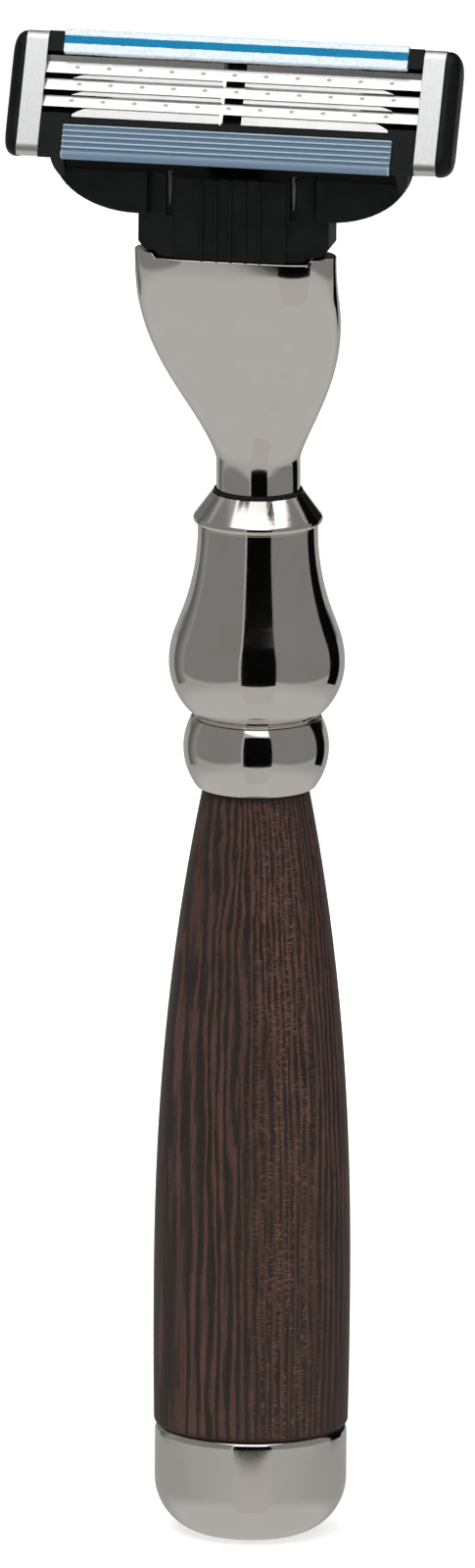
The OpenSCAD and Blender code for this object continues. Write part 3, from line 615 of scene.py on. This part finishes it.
# Shares of the head's height between which it starts to lean, and between which it is upright again
LEAN_SHARES = (0.04, 0.37)
UPRIGHT_SHARES = (0.8, 1.0)
HEAD_T = 5.6
FLAT_SHARE = 0.47
SEAT_W = 14.0
SEAT_DEPTH = 0.4
SEAT_SLOPE = 0.45
STUD_IN_BELL = 5.0
HEAD_RIM = 0.16
POCKET_GAP = 0.06
POCKET_CORNER = 0.12
BORE_R = 1.27
HEAD_SIDES = 288


def ease(t):
    """A smooth step from 0 to 1, half a turn of a cosine."""
    return (1 - np.cos(np.pi * np.clip(t, 0, 1))) / 2


def bend(h, start, stop):
    """The integral of a straight rise from 0 at start to 1 at stop."""
    rising = (h - start) ** 2 / (2 * (stop - start))
    return np.where(h < start, 0.0, np.where(h < stop, rising, h - (start + stop) / 2))


def head_lean(h):
    """How far a slice of the head stands forward: upright, then one slope, then upright again."""
    def swing(at):
        lean, upright = ([share * head_h for share in shares] for shares in (LEAN_SHARES, UPRIGHT_SHARES))
        return bend(at, *lean) - bend(at, *upright)
    return head_forward * swing(h) / swing(head_h)


def head_slice(h, inset=0.0):
    """A level slice of the head at height h: a flat oblong with elliptical ends, drawn in by inset."""
    a = (np.arange(HEAD_SIDES) + 0.5) * 2 * np.pi / HEAD_SIDES
    t = np.clip((h - WIDEN_FROM) / (head_h * WIDEN_SHARE), 0, 1)
    half_w = NECK_R + (HEAD_W / 2 - NECK_R) * np.sin(np.pi / 2 * t ** WIDEN_POWER) ** 2
    lean = (head_lean(h + 0.05) - head_lean(h - 0.05)) / 0.1
    thick = NECK_R + (HEAD_T / 2 - NECK_R) * ease((h - 1) / (head_h * THIN_SHARE))
    half_t = thick * np.sqrt(1 + lean ** 2)
    flat = FLAT_SHARE * half_w * ease((h - FLAT_FROM) / (head_h * FLAT_OVER))
    x = flat * np.sign(np.cos(a)) + (half_w - flat - inset) * np.cos(a)
    return np.column_stack([x, (half_t - inset) * np.sin(a) - head_lean(h), np.full(HEAD_SIDES, head_z + h)])


def oblong(half_w, half_t, z, power):
    """A level ring about the head's middle, from a rectangle (small power) to an ellipse (power 1)."""
    a = (np.arange(HEAD_SIDES) + 0.5) * 2 * np.pi / HEAD_SIDES
    c, s = np.cos(a), np.sin(a)
    return np.column_stack([half_w * np.sign(c) * np.abs(c) ** power,
                            half_t * np.sign(s) * np.abs(s) ** power - head_forward, np.full(HEAD_SIDES, z)])


def seat_drop(x):
    """How far the upper face lies below its corners: the seat's depth, sloped at the seat's ends."""
    return SEAT_DEPTH * (1 - ease((np.abs(x) - SEAT_W / 2) / SEAT_SLOPE))


def head_shell():
    """The head as one run of rings: stud, neck, slices, rounded rim, seat, post's pocket and bore."""
    stud_foot = collar_z - STUD_IN_BELL
    a = (np.arange(HEAD_SIDES) + 0.5) * 2 * np.pi / HEAD_SIDES
    circle = np.column_stack([np.cos(a), np.sin(a), np.zeros(HEAD_SIDES)])
    up = np.array([0, 0, 1.0])
    rings = [circle * (STUD_R - 0.3) + up * stud_foot, circle * STUD_R + up * (stud_foot + 0.3)]
    rings += [circle * STUD_R + up * (head_z - 0.02), circle * (NECK_R - 0.08) + up * head_z]
    for h in np.concatenate([[0.06], np.linspace(0.3, head_h - HEAD_RIM - SEAT_DEPTH, 150)]):
        rings.append(head_slice(h))
    # The rim follows the seat's step, because the last rings are lowered where the seat is
    for t in np.radians(np.linspace(0, 90, 7)):
        ring = head_slice(head_h, HEAD_RIM * (1 - math.cos(t)))
        ring[:, 2] = top_z - HEAD_RIM * (1 - math.sin(t)) - seat_drop(ring[:, 0])
        rings.append(ring)
    pocket_w = (post_high.x - post_low.x) / 2 * METRES + POCKET_GAP
    pocket_t = (post_high.y - post_low.y) / 2 * METRES + POCKET_GAP
    pocket = oblong(pocket_w, pocket_t, top_z - SEAT_DEPTH, POCKET_CORNER)
    edge = rings[-1]
    for share in np.linspace(0, 1, 14)[1:]:
        ring = edge * (1 - share) + pocket * share
        ring[:, 2] = top_z - seat_drop(ring[:, 0])
        rings.append(ring)
    floor = post_low.z * METRES - 0.02
    rings.append(oblong(pocket_w, pocket_t, floor, POCKET_CORNER))
    rings.append(oblong(BORE_R, BORE_R, floor, 1.0))
    rings.append(oblong(BORE_R, BORE_R, floor - 2.0, 1.0))
    return outward(*tube(np.array(rings)))


piece("head_shell", head_shell(), "handle", CHROME, ["head_neck"], sharp=50)

finish_cad("tie_rod", ROD_STEEL)
finish_cad("plunger_spring", SPRING_STEEL)
bevelled(piece("docking_post_body", copied("docking_post"), "handle", DOCK_PLASTIC,
               ["docking_post"]), 0.12)
bevelled(piece("plunger_body", copied("plunger"), "plunger", DOCK_PLASTIC, ["plunger"]), 0.1)

# ---- Connector ----

bevelled(piece("connector_body", copied("connector"), "connector", CONNECTOR_PLASTIC,
               ["connector"]), 0.08, 2)

# A slim tapered tongue stands in each slot beside the latch; it leans back to catch the light from above,
# and its paler colour is a painted highlight
SLOT_X = 5.75
SLOT_FOOT = 4.9
TONGUE_TOP = 8.0
TONGUE_TIP = 0.05
TONGUE_HALF = 0.2
BLOCK_T = 5.6
BLOCK_SUNK = 0.28
block_front = -head_forward - BLOCK_T / 2
block_z = top_z - BLOCK_SUNK


def slot_tongue(side):
    """A four-sided spike: a narrow rectangle at the top that shrinks to the slot's foot."""
    rings = []
    for t in np.linspace(0, 1, 9):
        half = TONGUE_TIP + (TONGUE_HALF - TONGUE_TIP) * t
        z = block_z + SLOT_FOOT + (TONGUE_TOP - SLOT_FOOT) * t
        y = block_front + 0.42 + 0.25 * t
        x = side * SLOT_X + 0.05
        rings.append([[x - half, y, z], [x + half, y + 0.1, z],
                      [x + half, y + 0.5, z], [x - half, y + 0.5, z]])
    return outward(*tube(np.array(rings)))


# Paler than the connector's plastic: a painted highlight
TONGUE_PAINTED_HIGHLIGHT = plastic_look("tongue_painted_highlight", (0.06, 0.06, 0.058), 0.3)
piece("slot_tongues", join(slot_tongue(-1), slot_tongue(1)), "connector",
      TONGUE_PAINTED_HIGHLIGHT)

# ---- Cartridge ----

pivot = [j for j in frame["joints"] if j["name"] == "cartridge_pivot"][0]["pos_m"]
FACE_TILT = 30.0
PIVOT_UP = 1.5
PIVOT_IN = 1.0
tilt_c, tilt_s = math.cos(math.radians(FACE_TILT)), math.sin(math.radians(FACE_TILT))
face_y = pivot[1] * METRES - PIVOT_UP * tilt_s - PIVOT_IN * tilt_c
face_z = pivot[2] * METRES - PIVOT_UP * tilt_c + PIVOT_IN * tilt_s
CART_H = 12.4
CART_D = 3.8
END_W = 1.3
CLIP_W = 2.1
CLIP_T = 0.25
CLIP_EDGE = 0.05
cart_w = (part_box("housing")[1].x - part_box("housing")[0].x) * METRES
clip_x = cart_w / 2 - END_W - CLIP_W


def on_face(shell):
    """Puts a shell drawn as across, into and up the cartridge's face where the face is."""
    points, faces = shell
    x, into, up = points.T
    y = face_y + into * tilt_c + up * tilt_s
    z = face_z - into * tilt_s + up * tilt_c
    return np.column_stack([x, y, z]), faces


def mirrored(shell):
    points, faces = shell
    return points * [-1, 1, 1], [f[::-1] for f in faces]


def frame_without_ends():
    """The housing's CAD shape cut off flat at the outer edges of the clips."""
    shape = cad_shape("housing")
    limit = (cart_w / 2 - END_W) * MM
    for side in (1, -1):
        cut = bmesh.ops.bisect_plane(
            shape, geom=shape.verts[:] + shape.edges[:] + shape.faces[:], dist=1e-7,
            plane_co=(side * limit, 0, 0), plane_no=(side, 0, 0), clear_outer=True)
        edges = [e for e in cut["geom_cut"] if isinstance(e, bmesh.types.BMEdge)]
        bmesh.ops.holes_fill(shape, edges=edges, sides=0)
    return closed_up(shape)


TUCK = 0.3
END_PROUD = 0.35
END_ROUND = 1.9
END_INSET = 1.45


def tucked(outline):
    """The cartridge's underside rises towards its back: the lower part of an outline is sheared upwards."""
    into, up = outline.T
    return np.column_stack([into, up + TUCK * np.maximum(into, 0) * np.maximum(1 - up / 4, 0)])


def end_cushion():
    """An end of the housing: a tall rounded outline, drawn in along an ellipse as it goes outwards."""
    outline = rounded(-END_PROUD, -0.05, CART_D + 0.3, CART_H - 0.05, END_ROUND, 24)
    middle = np.array([(CART_D - 0.05) / 2, (CART_H - 0.1) / 2])
    half = (outline.max(0) - outline.min(0)) / 2
    start = clip_x + CLIP_W
    rings = [np.column_stack([np.full(len(outline), start), tucked(outline)])]
    for t in np.radians(np.linspace(0, 90, 22)):
        inset = END_INSET * (1 - math.cos(t))
        shrunk = tucked(middle + (outline - middle) * (1 - inset / half))
        x = start + 0.12 + (END_W - 0.16) * math.sin(t)
        rings.append(np.column_stack([np.full(len(outline), x), shrunk]))
    last = rings[-1]
    centre = last[:, 1:].mean(0)
    for share in (0.75, 0.5, 0.25, 0.05):
        ring = last.copy()
        ring[:, 1:] = centre + (last[:, 1:] - centre) * share
        ring[:, 0] = start + END_W - 0.04 + 0.04 * (1 - share ** 2)
        rings.append(ring)
    return outward(*tube(np.array(rings)))


bevelled(piece("cartridge_frame", frame_without_ends(), "cartridge", FRAME_PLASTIC,
               ["housing"]), 0.07, 2)
cushion = end_cushion()
ends = join(on_face(cushion), on_face(mirrored(cushion)))
piece("cartridge_ends", ends, "cartridge", FRAME_PLASTIC)

# The guard strip: five thin fins over a flat lower band
GUARD_W = 30.5
GUARD_H = 3.15
FINS = 5
FIN_PITCH = 0.52
FIN_T = 0.12
CREST = -0.4
ROOT = -0.16
GUARD_BACK = 0.35
# How much painted highlight the strip's ends get
END_PAINTED_LIGHT = 0.8
GUARD_ROUND = 0.09


def guard_shell():
    """The strip's outline, fins and all, carried across the cartridge with its ends slightly drawn in."""
    parts = [[GUARD_BACK, GUARD_H]]
    # Each outline point's share of painted highlight: most on the fins' ridges, none in the grooves, half on
    # the lower band
    crest = [0.4]
    for n in range(FINS):
        z = GUARD_H - n * FIN_PITCH
        fin = path([CREST + 0.06, z], arc(CREST + FIN_T / 2, z - FIN_T / 2, FIN_T / 2, 110, 250, 6),
                   [ROOT - 0.05, z - FIN_T - 0.03], [ROOT, z - FIN_T - 0.1], [ROOT, z - FIN_PITCH + 0.08],
                   [ROOT - 0.06, z - FIN_PITCH + 0.01])
        parts.append(fin)
        crest += [0.9] + [1.0] * 7 + [0.35, 0.0, 0.0, 0.3]
    low = GUARD_H - FINS * FIN_PITCH
    band = path([CREST + 0.06, low + 0.04], [CREST + 0.02, low - 0.02], [CREST + 0.02, 0.3],
                arc(CREST + 0.3, 0.3, 0.28, 190, 265, 6), [GUARD_BACK, 0.02])
    crest += [0.9, 0.6, 0.5] + [0.5] * 7 + [0.4]
    outline = path(*parts, band)
    middle = outline.mean(0)
    start = np.array([0, GUARD_ROUND / 3, GUARD_ROUND])
    stations = np.concatenate([start, np.linspace(0.2, GUARD_W - 0.2, 60), GUARD_W - start[::-1]])
    rings = []
    for x in stations:
        near = min(x, GUARD_W - x)
        draw = 0.07 * (1 - math.sqrt(max(0.0, 1 - (1 - min(near, GUARD_ROUND) / GUARD_ROUND) ** 2)))
        ring = outline + (middle - outline) * draw / 1.6
        rings.append(np.column_stack([np.full(len(ring), x - GUARD_W / 2), ring]))
    marks = np.concatenate([np.tile(crest, len(stations)), [0.9, 0.9]])
    run = len(start) * len(crest)
    last = (len(stations) - len(start)) * len(crest)
    for first in (0, last):
        marks[first:first + run] = np.maximum(marks[first:first + run], END_PAINTED_LIGHT)
    return outward(*tube(np.array(rings))), marks


def mark(made, name, values):
    """Writes a number for each point of a piece, which its material reads."""
    attribute = made.data.attributes.new(name, "FLOAT", "POINT")
    attribute.data.foreach_set("value", np.asarray(values, np.float32))


# The guard's painted highlight, kept on its points for its material
guard, crests = guard_shell()
guard_piece = piece("guard", on_face(guard), "cartridge", GUARD, ["guard_strip"], sharp=60)
mark(guard_piece, "crest", crests)

# The lubricating strip: a white bar with a blue stripe, both with a faintly uneven, fuzzy skin
STRIP_W = 31.9
STRIP_H = 2.35
STRIPE_H = 0.76
WHITE_FUZZ = 0.022
BLUE_FUZZ = 0.014
STRIP_FRONT = -0.28
STRIPE_FRONT = -0.29
STRIPE_BED = -0.2
strip_low = CART_H - STRIP_H
stripe_low = strip_low + (STRIP_H - STRIPE_H) * 0.52


def fuzzy_bar(outline, length, fuzz, seed):
    """An outline carried across the cartridge, with its skin moved in and out by blurred noise."""
    outline = refined(outline, 0.07)
    stations = np.linspace(-length / 2, length / 2, 520)
    shift = smooth_noise((len(stations), len(outline)), (0.9, 0.9), seed) * fuzz
    shift += smooth_noise((len(stations), len(outline)), (9, 3), seed + 1) * fuzz * 0.8
    tangent = np.roll(outline, -1, 0) - np.roll(outline, 1, 0)
    normal = np.column_stack([tangent[:, 1], -tangent[:, 0]])
    normal /= np.linalg.norm(normal, axis=1)[:, None] + 1e-9
    shape = outline[None] + normal[None] * np.clip(shift, -2.2 * fuzz, 0.6 * fuzz)[:, :, None]
    ends = 1 - 0.035 * (np.abs(stations) > length / 2 - 0.05)
    middle = outline.mean(0)
    shape = middle + (shape - middle) * ends[:, None, None]
    wander = smooth_noise((len(outline), 2), (1.5, 0), seed + 2)[:, 0] * fuzz
    x = np.broadcast_to(stations[:, None], shape.shape[:2]).copy()
    x[0] += np.abs(wander)
    x[-1] -= np.abs(wander)
    return outward(*tube(np.concatenate([x[:, :, None], shape], axis=2)))


def refined(outline, step):
    """The same closed outline with points no further apart than step."""
    closed = np.vstack([outline, outline[:1]])
    gaps = np.linalg.norm(np.diff(closed, axis=0), axis=1)
    along = np.concatenate([[0], np.cumsum(gaps)])
    spots = np.linspace(0, along[-1], int(along[-1] / step), endpoint=False)
    return np.column_stack([np.interp(spots, along, closed[:, k]) for k in range(2)])


white_outline = path(
    [0.6, strip_low], [0.6, CART_H - 0.02], arc(0.2, CART_H - 0.5, 0.48, 90, 180, 10),
    [STRIP_FRONT, stripe_low + STRIPE_H], [STRIPE_BED, stripe_low + STRIPE_H - 0.06],
    [STRIPE_BED, stripe_low + 0.06], [STRIP_FRONT, stripe_low], [STRIP_FRONT, strip_low + 0.1],
    [STRIPE_BED, strip_low])
piece("strip_body", on_face(fuzzy_bar(white_outline, STRIP_W, WHITE_FUZZ, 11)), "cartridge",
      STRIP_WHITE, ["lubricating_strip"], sharp=80)
blue_outline = path(
    [STRIPE_FRONT, stripe_low + 0.01], [0.05, stripe_low + 0.01],
    [0.05, stripe_low + STRIPE_H - 0.01], [STRIPE_FRONT, stripe_low + STRIPE_H - 0.01])
piece("strip_stripe", on_face(fuzzy_bar(blue_outline, STRIP_W, BLUE_FUZZ, 31)), "cartridge",
      STRIP_BLUE, ["lubricating_stripe"], sharp=80)


# The clips' inner outline, and the opening at their back
CLIP_LOW = 0.3
CLIP_BACK = CART_D - 0.3
CLIP_TOP = CART_H - 0.4
CLIP_ROUND = 0.9
OPEN_LOW = 2.2
OPEN_HIGH = CART_H - 2.4


def clip_shell():
    """A thin band with eased edges carried round the frame's rounded section, open at the back."""
    runs = []
    for grow in (CLIP_T, 0.0):
        back = CLIP_BACK + grow
        outline = rounded(-grow, CLIP_LOW - grow, back, CLIP_TOP + grow, CLIP_ROUND + grow, 20)
        runs.append(path([back, OPEN_HIGH], tucked(outline), [back, OPEN_LOW]))
    outer, inner = runs
    low, high = clip_x + 0.02, clip_x + CLIP_W - 0.02
    ease_share = CLIP_EDGE / CLIP_T
    section = [(low + CLIP_EDGE, 1.0), (high - CLIP_EDGE, 1.0), (high, 1 - ease_share), (high, 0.0),
               (low, 0.0), (low, 1 - ease_share)]
    rings = [[[x, *(i + (o - i) * share)] for x, share in section] for o, i in zip(outer, inner)]
    return outward(*tube(np.array(rings)))


band = clip_shell()
piece("clip_band_right", on_face(band), "cartridge", CLIP, ["clip_right"], sharp=30)
piece("clip_band_left", on_face(mirrored(band)), "cartridge", CLIP, ["clip_left"], sharp=30)

# ---- Blades ----

BLADE_PITCH = 1.6
BLADE_STRIP = 1.23
BLADE_T = 0.1
BLADE_TILT = 20.0
BLADE_BACK = 9.28
BLADE_FRONT = 0.08
GROUND = 0.3
WELDS = 11
WELD_PITCH = 2.92
WELD_SHIFT = (0.0, 0.3, -0.25)
WELD_AT = 0.74
WELD_HALF_W = 0.27
WELD_HALF_H = 0.19
WELD_DENT = 0.02
EDGE_T = 0.004
blade_low, blade_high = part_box("blade_1")
blade_w = (blade_high.x - blade_low.x) * METRES
along_dir = np.array([math.sin(math.radians(BLADE_TILT)), math.cos(math.radians(BLADE_TILT))])
into_dir = np.array([math.cos(math.radians(BLADE_TILT)), -math.sin(math.radians(BLADE_TILT))])


def blade_shell(n):
    """A thin strip from its ground edge to its back, with a shallow round dent at each weld spot."""
    edge = np.array([BLADE_FRONT, BLADE_BACK - (n - 1) * BLADE_PITCH - BLADE_STRIP * along_dir[1]])
    across = np.linspace(-blade_w / 2, blade_w / 2, 640)
    along = np.concatenate([[0.0, 0.02], np.linspace(0.08, BLADE_STRIP, 26)])
    x, v = np.meshgrid(across, along, indexing="ij")
    centres = (np.arange(WELDS) - (WELDS - 1) / 2) * WELD_PITCH + WELD_SHIFT[n - 1]
    near = np.abs(x[:, :, None] - centres).min(2)
    spot = np.clip(1.3 - ((near / WELD_HALF_W) ** 2 + ((v - WELD_AT) / WELD_HALF_H) ** 2), 0, 1)
    spot = spot * spot * (3 - 2 * spot)
    depth_front = WELD_DENT * spot
    depth_back = np.where(v < GROUND, BLADE_T * v / GROUND, BLADE_T)
    front = edge + v[:, :, None] * along_dir + depth_front[:, :, None] * into_dir
    back = edge + v[:, :, None] * along_dir + np.maximum(depth_back, EDGE_T)[:, :, None] * into_dir
    ring = np.concatenate([front, back[:, ::-1]], axis=1)
    xs = np.concatenate([x, x[:, ::-1]], axis=1)
    shell = outward(*tube(np.concatenate([xs[:, :, None], ring], axis=2)))
    ground = np.clip(1.2 - v / 0.12, 0, 1)
    welds = np.concatenate([spot, np.zeros_like(spot)], axis=1).ravel()
    grounds = np.concatenate([ground, np.zeros_like(ground)], axis=1).ravel()
    return shell, np.append(welds, [0, 0]), np.append(grounds, [0, 0])


for n in (1, 2, 3):
    shell, welds, grounds = blade_shell(n)
    strip = piece(f"blade_strip_{n}", on_face(shell), f"blade_unit_{n}", BLADE_STEEL,
                  [f"blade_{n}"])
    mark(strip, "weld", welds)
    mark(strip, "ground", grounds)
    finish_cad(f"blade_support_{n}", SUPPORT_STEEL)


# ---- Studio ----

def stage_plane(name, corners, material):
    mesh = bpy.data.meshes.new(name)
    mesh.from_pydata([tuple(c) for c in corners], [], [[0, 1, 2, 3]])
    mesh.materials.append(material)
    made = added(name, mesh)
    return made


FLOOR_HALF = 6.0
FLOOR_GLOW = 0.55
floor_material, floor_tree, floor_shader = look("floor", (0.9, 0.9, 0.9), Roughness=0.9)
cloud = noise(floor_tree, object_place(floor_tree), 0.004, 3.0)
feed(floor_tree, floor_shader.inputs["Base Color"],
     ramp(floor_tree, cloud, (0.3, (0.89, 0.89, 0.89)), (0.7, (0.91, 0.91, 0.91))))
floor_shader.inputs["Specular IOR Level"].default_value = 0.0
floor_shader.inputs["Emission Color"].default_value = (1, 1, 1, 1)
floor_shader.inputs["Emission Strength"].default_value = FLOOR_GLOW
floor = stage_plane("floor", [(-FLOOR_HALF, -FLOOR_HALF, 0), (FLOOR_HALF, -FLOOR_HALF, 0),
                              (FLOOR_HALF, FLOOR_HALF, 0), (-FLOOR_HALF, FLOOR_HALF, 0)], floor_material)
floor.visible_glossy = False

azimuth, elevation = math.radians(CAMERA_AZIMUTH), math.radians(CAMERA_ELEVATION)
to_camera = Vector((math.sin(azimuth) * math.cos(elevation), -math.cos(azimuth) * math.cos(elevation),
                    math.sin(elevation)))
to_right = Vector((math.cos(azimuth), math.sin(azimuth), 0))

# Cards seen only in the metal's reflections: a black one on a grey stand in front, a grey panel on each
# side, and a dark card behind each side
CARD_AWAY = 0.33
CARD_LEFT = CARD_AWAY * math.tan(math.radians(20.5))
CARD_RIGHT = CARD_AWAY * math.tan(math.radians(25.2))
CARD_LOW, CARD_HIGH = -0.0635, 0.268
STAND_LOW = -0.38
SIDE_TURN = math.radians(123.5)
SIDE_HALF = CARD_AWAY * math.tan(math.radians(13.5))
SIDE_HIGH = 0.3
PANEL_TURN = math.radians(67)
PANEL_HALF = CARD_AWAY * math.tan(math.radians(43.5))
PANEL_HIGH = 0.5


def card_look(name, colour, *levels, along=(0, 0, 1), between=(0, 1)):
    """A glowing or black card; two levels make its glow change between two places along a direction."""
    material, tree, shader = look(name, (0.002, 0.002, 0.002), Roughness=0.9, Specular_IOR_Level=0.0)
    shader.inputs["Emission Color"].default_value = (*colour, 1)
    shader.inputs["Emission Strength"].default_value = levels[0]
    if len(levels) == 2:
        at = node(tree, "VectorMath", {0: object_place(tree), 1: along}, operation="DOT_PRODUCT")
        feed(tree, shader.inputs["Emission Strength"],
             smoothly(tree, at.outputs["Value"], *between, *levels))
    return material


def reflected_card(name, turned_by, left, right, low, high, material):
    """An upright rectangle, turned from the camera's level direction, which only mirrors see."""
    turn = azimuth + turned_by
    way = Vector((math.sin(turn), -math.cos(turn), 0)) * CARD_AWAY
    across = Vector((math.cos(turn), math.sin(turn), 0))
    corners = [(left, low), (right, low), (right, high), (left, high)]
    made = stage_plane(name, [way + across * x + Vector((0, 0, z)) for x, z in corners], material)
    made.visible_camera = False
    made.visible_diffuse = False
    made.visible_shadow = False


black = card_look("card", (0, 0, 0), 0.0)
reflected_card("black_card", 0, -CARD_LEFT, CARD_RIGHT, CARD_LOW, CARD_HIGH, black)
reflected_card("card_stand", 0, -CARD_LEFT, CARD_RIGHT, STAND_LOW, CARD_LOW,
               card_look("stand", (1.0, 0.96, 0.91), 0.46))
reflected_card("right_card", SIDE_TURN, -SIDE_HALF, SIDE_HALF, CARD_LOW, SIDE_HIGH, black)
left_turn = azimuth - SIDE_TURN
left_across = (math.cos(left_turn), math.sin(left_turn), 0)
reflected_card("left_card", -SIDE_TURN, -SIDE_HALF, SIDE_HALF, CARD_LOW, SIDE_HIGH,
               card_look("dim", (1.0, 0.98, 0.95), 0.13, 0.28, along=left_across, between=(-40, 70)))
for card_side in (-1, 1):
    glow = card_look("panel", (1.0, 0.985, 0.965), 0.42, 0.22, between=(-64, -25))
    reflected_card(f"panel_{card_side}", card_side * PANEL_TURN, -PANEL_HALF, PANEL_HALF,
                   CARD_LOW, PANEL_HIGH, glow)


GLOW_BELOW = 0.5
LIGHT_ABOVE = 1.35


def studio_world():
    """Soft panels all round, a broad light above, darkness behind, and the floor's glow below."""
    world = bpy.data.worlds.new("studio")
    bpy.context.scene.world = world
    world.use_nodes = True
    tree = world.node_tree
    direction = node(tree, "TexCoord").outputs["Generated"]
    facing = node(tree, "VectorRotate", {"Vector": direction, "Angle": -azimuth},
                  rotation_type="Z_AXIS").outputs[0]
    part = node(tree, "SeparateXYZ", {0: facing})
    side = math_node(tree, "ARCTAN2", part.outputs[0], math_node(tree, "MULTIPLY", part.outputs[1], -1.0))
    side = math_node(tree, "MULTIPLY", side, 180 / math.pi)
    away = math_node(tree, "ABSOLUTE", side)
    height = math_node(tree, "MULTIPLY", math_node(tree, "ARCSINE", part.outputs[2]), 180 / math.pi)
    panels = smoothly(tree, away, 25, 112, 0.43, 0.36)
    low = smoothly(tree, height, -22, -40, 0.0, 1.0)
    value = blended(tree, low, panels, GLOW_BELOW)
    # It is dark behind on the right, and only dim behind on the left
    gap = math_node(tree, "MULTIPLY", smoothly(tree, away, 128, 136), smoothly(tree, height, -3, 2))
    gap = math_node(tree, "MULTIPLY", gap, smoothly(tree, height, 54, 44))
    strength = smoothly(tree, side, -1, 1, 0.5, 0.97)
    gap = math_node(tree, "MULTIPLY", gap, strength)
    value = math_node(tree, "MULTIPLY", value, math_node(tree, "SUBTRACT", 1.0, gap))
    # The broad light above: everything within some forty degrees of a direction high in front
    turn, climb = math.radians(20), math.radians(72)
    aim = (math.sin(turn) * math.cos(climb), -math.cos(turn) * math.cos(climb), math.sin(climb))
    close = node(tree, "VectorMath", {0: facing, 1: aim}, operation="DOT_PRODUCT").outputs["Value"]
    above = smoothly(tree, close, math.cos(math.radians(43)), math.cos(math.radians(38)))
    value = blended(tree, above, value, LIGHT_ABOVE)
    warm = mixed(tree, above, (1.0, 0.985, 0.96), (1.0, 1.0, 1.0))
    background = tree.nodes["Background"]
    tree.links.new(warm, background.inputs["Color"])
    tree.links.new(value, background.inputs["Strength"])


studio_world()

# A soft lamp that lights the matt pieces and the floor, and isn't seen in the metal
LAMP_SIDE = 0.7
LAMP_POWER = 4.5
LAMP_AWAY = 0.55
LAMP_LEFT = 0.25
LAMP_UP = 0.75
LAMP_AIM = 0.07
lamp_data = bpy.data.lights.new("soft_lamp", "AREA")
lamp_data.shape = "SQUARE"
lamp_data.size = LAMP_SIDE
lamp_data.energy = LAMP_POWER
lamp = added("soft_lamp", lamp_data)
lamp.location = to_camera * LAMP_AWAY - to_right * LAMP_LEFT + Vector((0, 0, LAMP_UP))
lamp.rotation_mode = "QUATERNION"
lamp.rotation_quaternion = (Vector((0, 0, LAMP_AIM)) - lamp.location).to_track_quat("-Z", "Y")
lamp.visible_glossy = False
lamp.visible_camera = False

bpy.context.scene.view_settings.view_transform = "Standard"
bpy.context.scene.view_settings.look = "None"

camera_data = bpy.data.cameras.new("camera")
camera_data.type = "ORTHO"
camera_data.ortho_scale = VIEW_HEIGHT * MM
camera_data.clip_start, camera_data.clip_end = 0.01, 20
camera = added("camera", camera_data)
camera.location = Vector((0, 0, VIEW_MIDDLE * MM)) - to_right * VIEW_LEFT * MM + to_camera * CAMERA_AWAY
camera.rotation_mode = "QUATERNION"
camera.rotation_quaternion = (-to_camera).to_track_quat("-Z", "Y") @ Matrix.Rotation(
    math.radians(CAMERA_ROLL), 3, "Z").to_quaternion()
bpy.context.scene.camera = camera
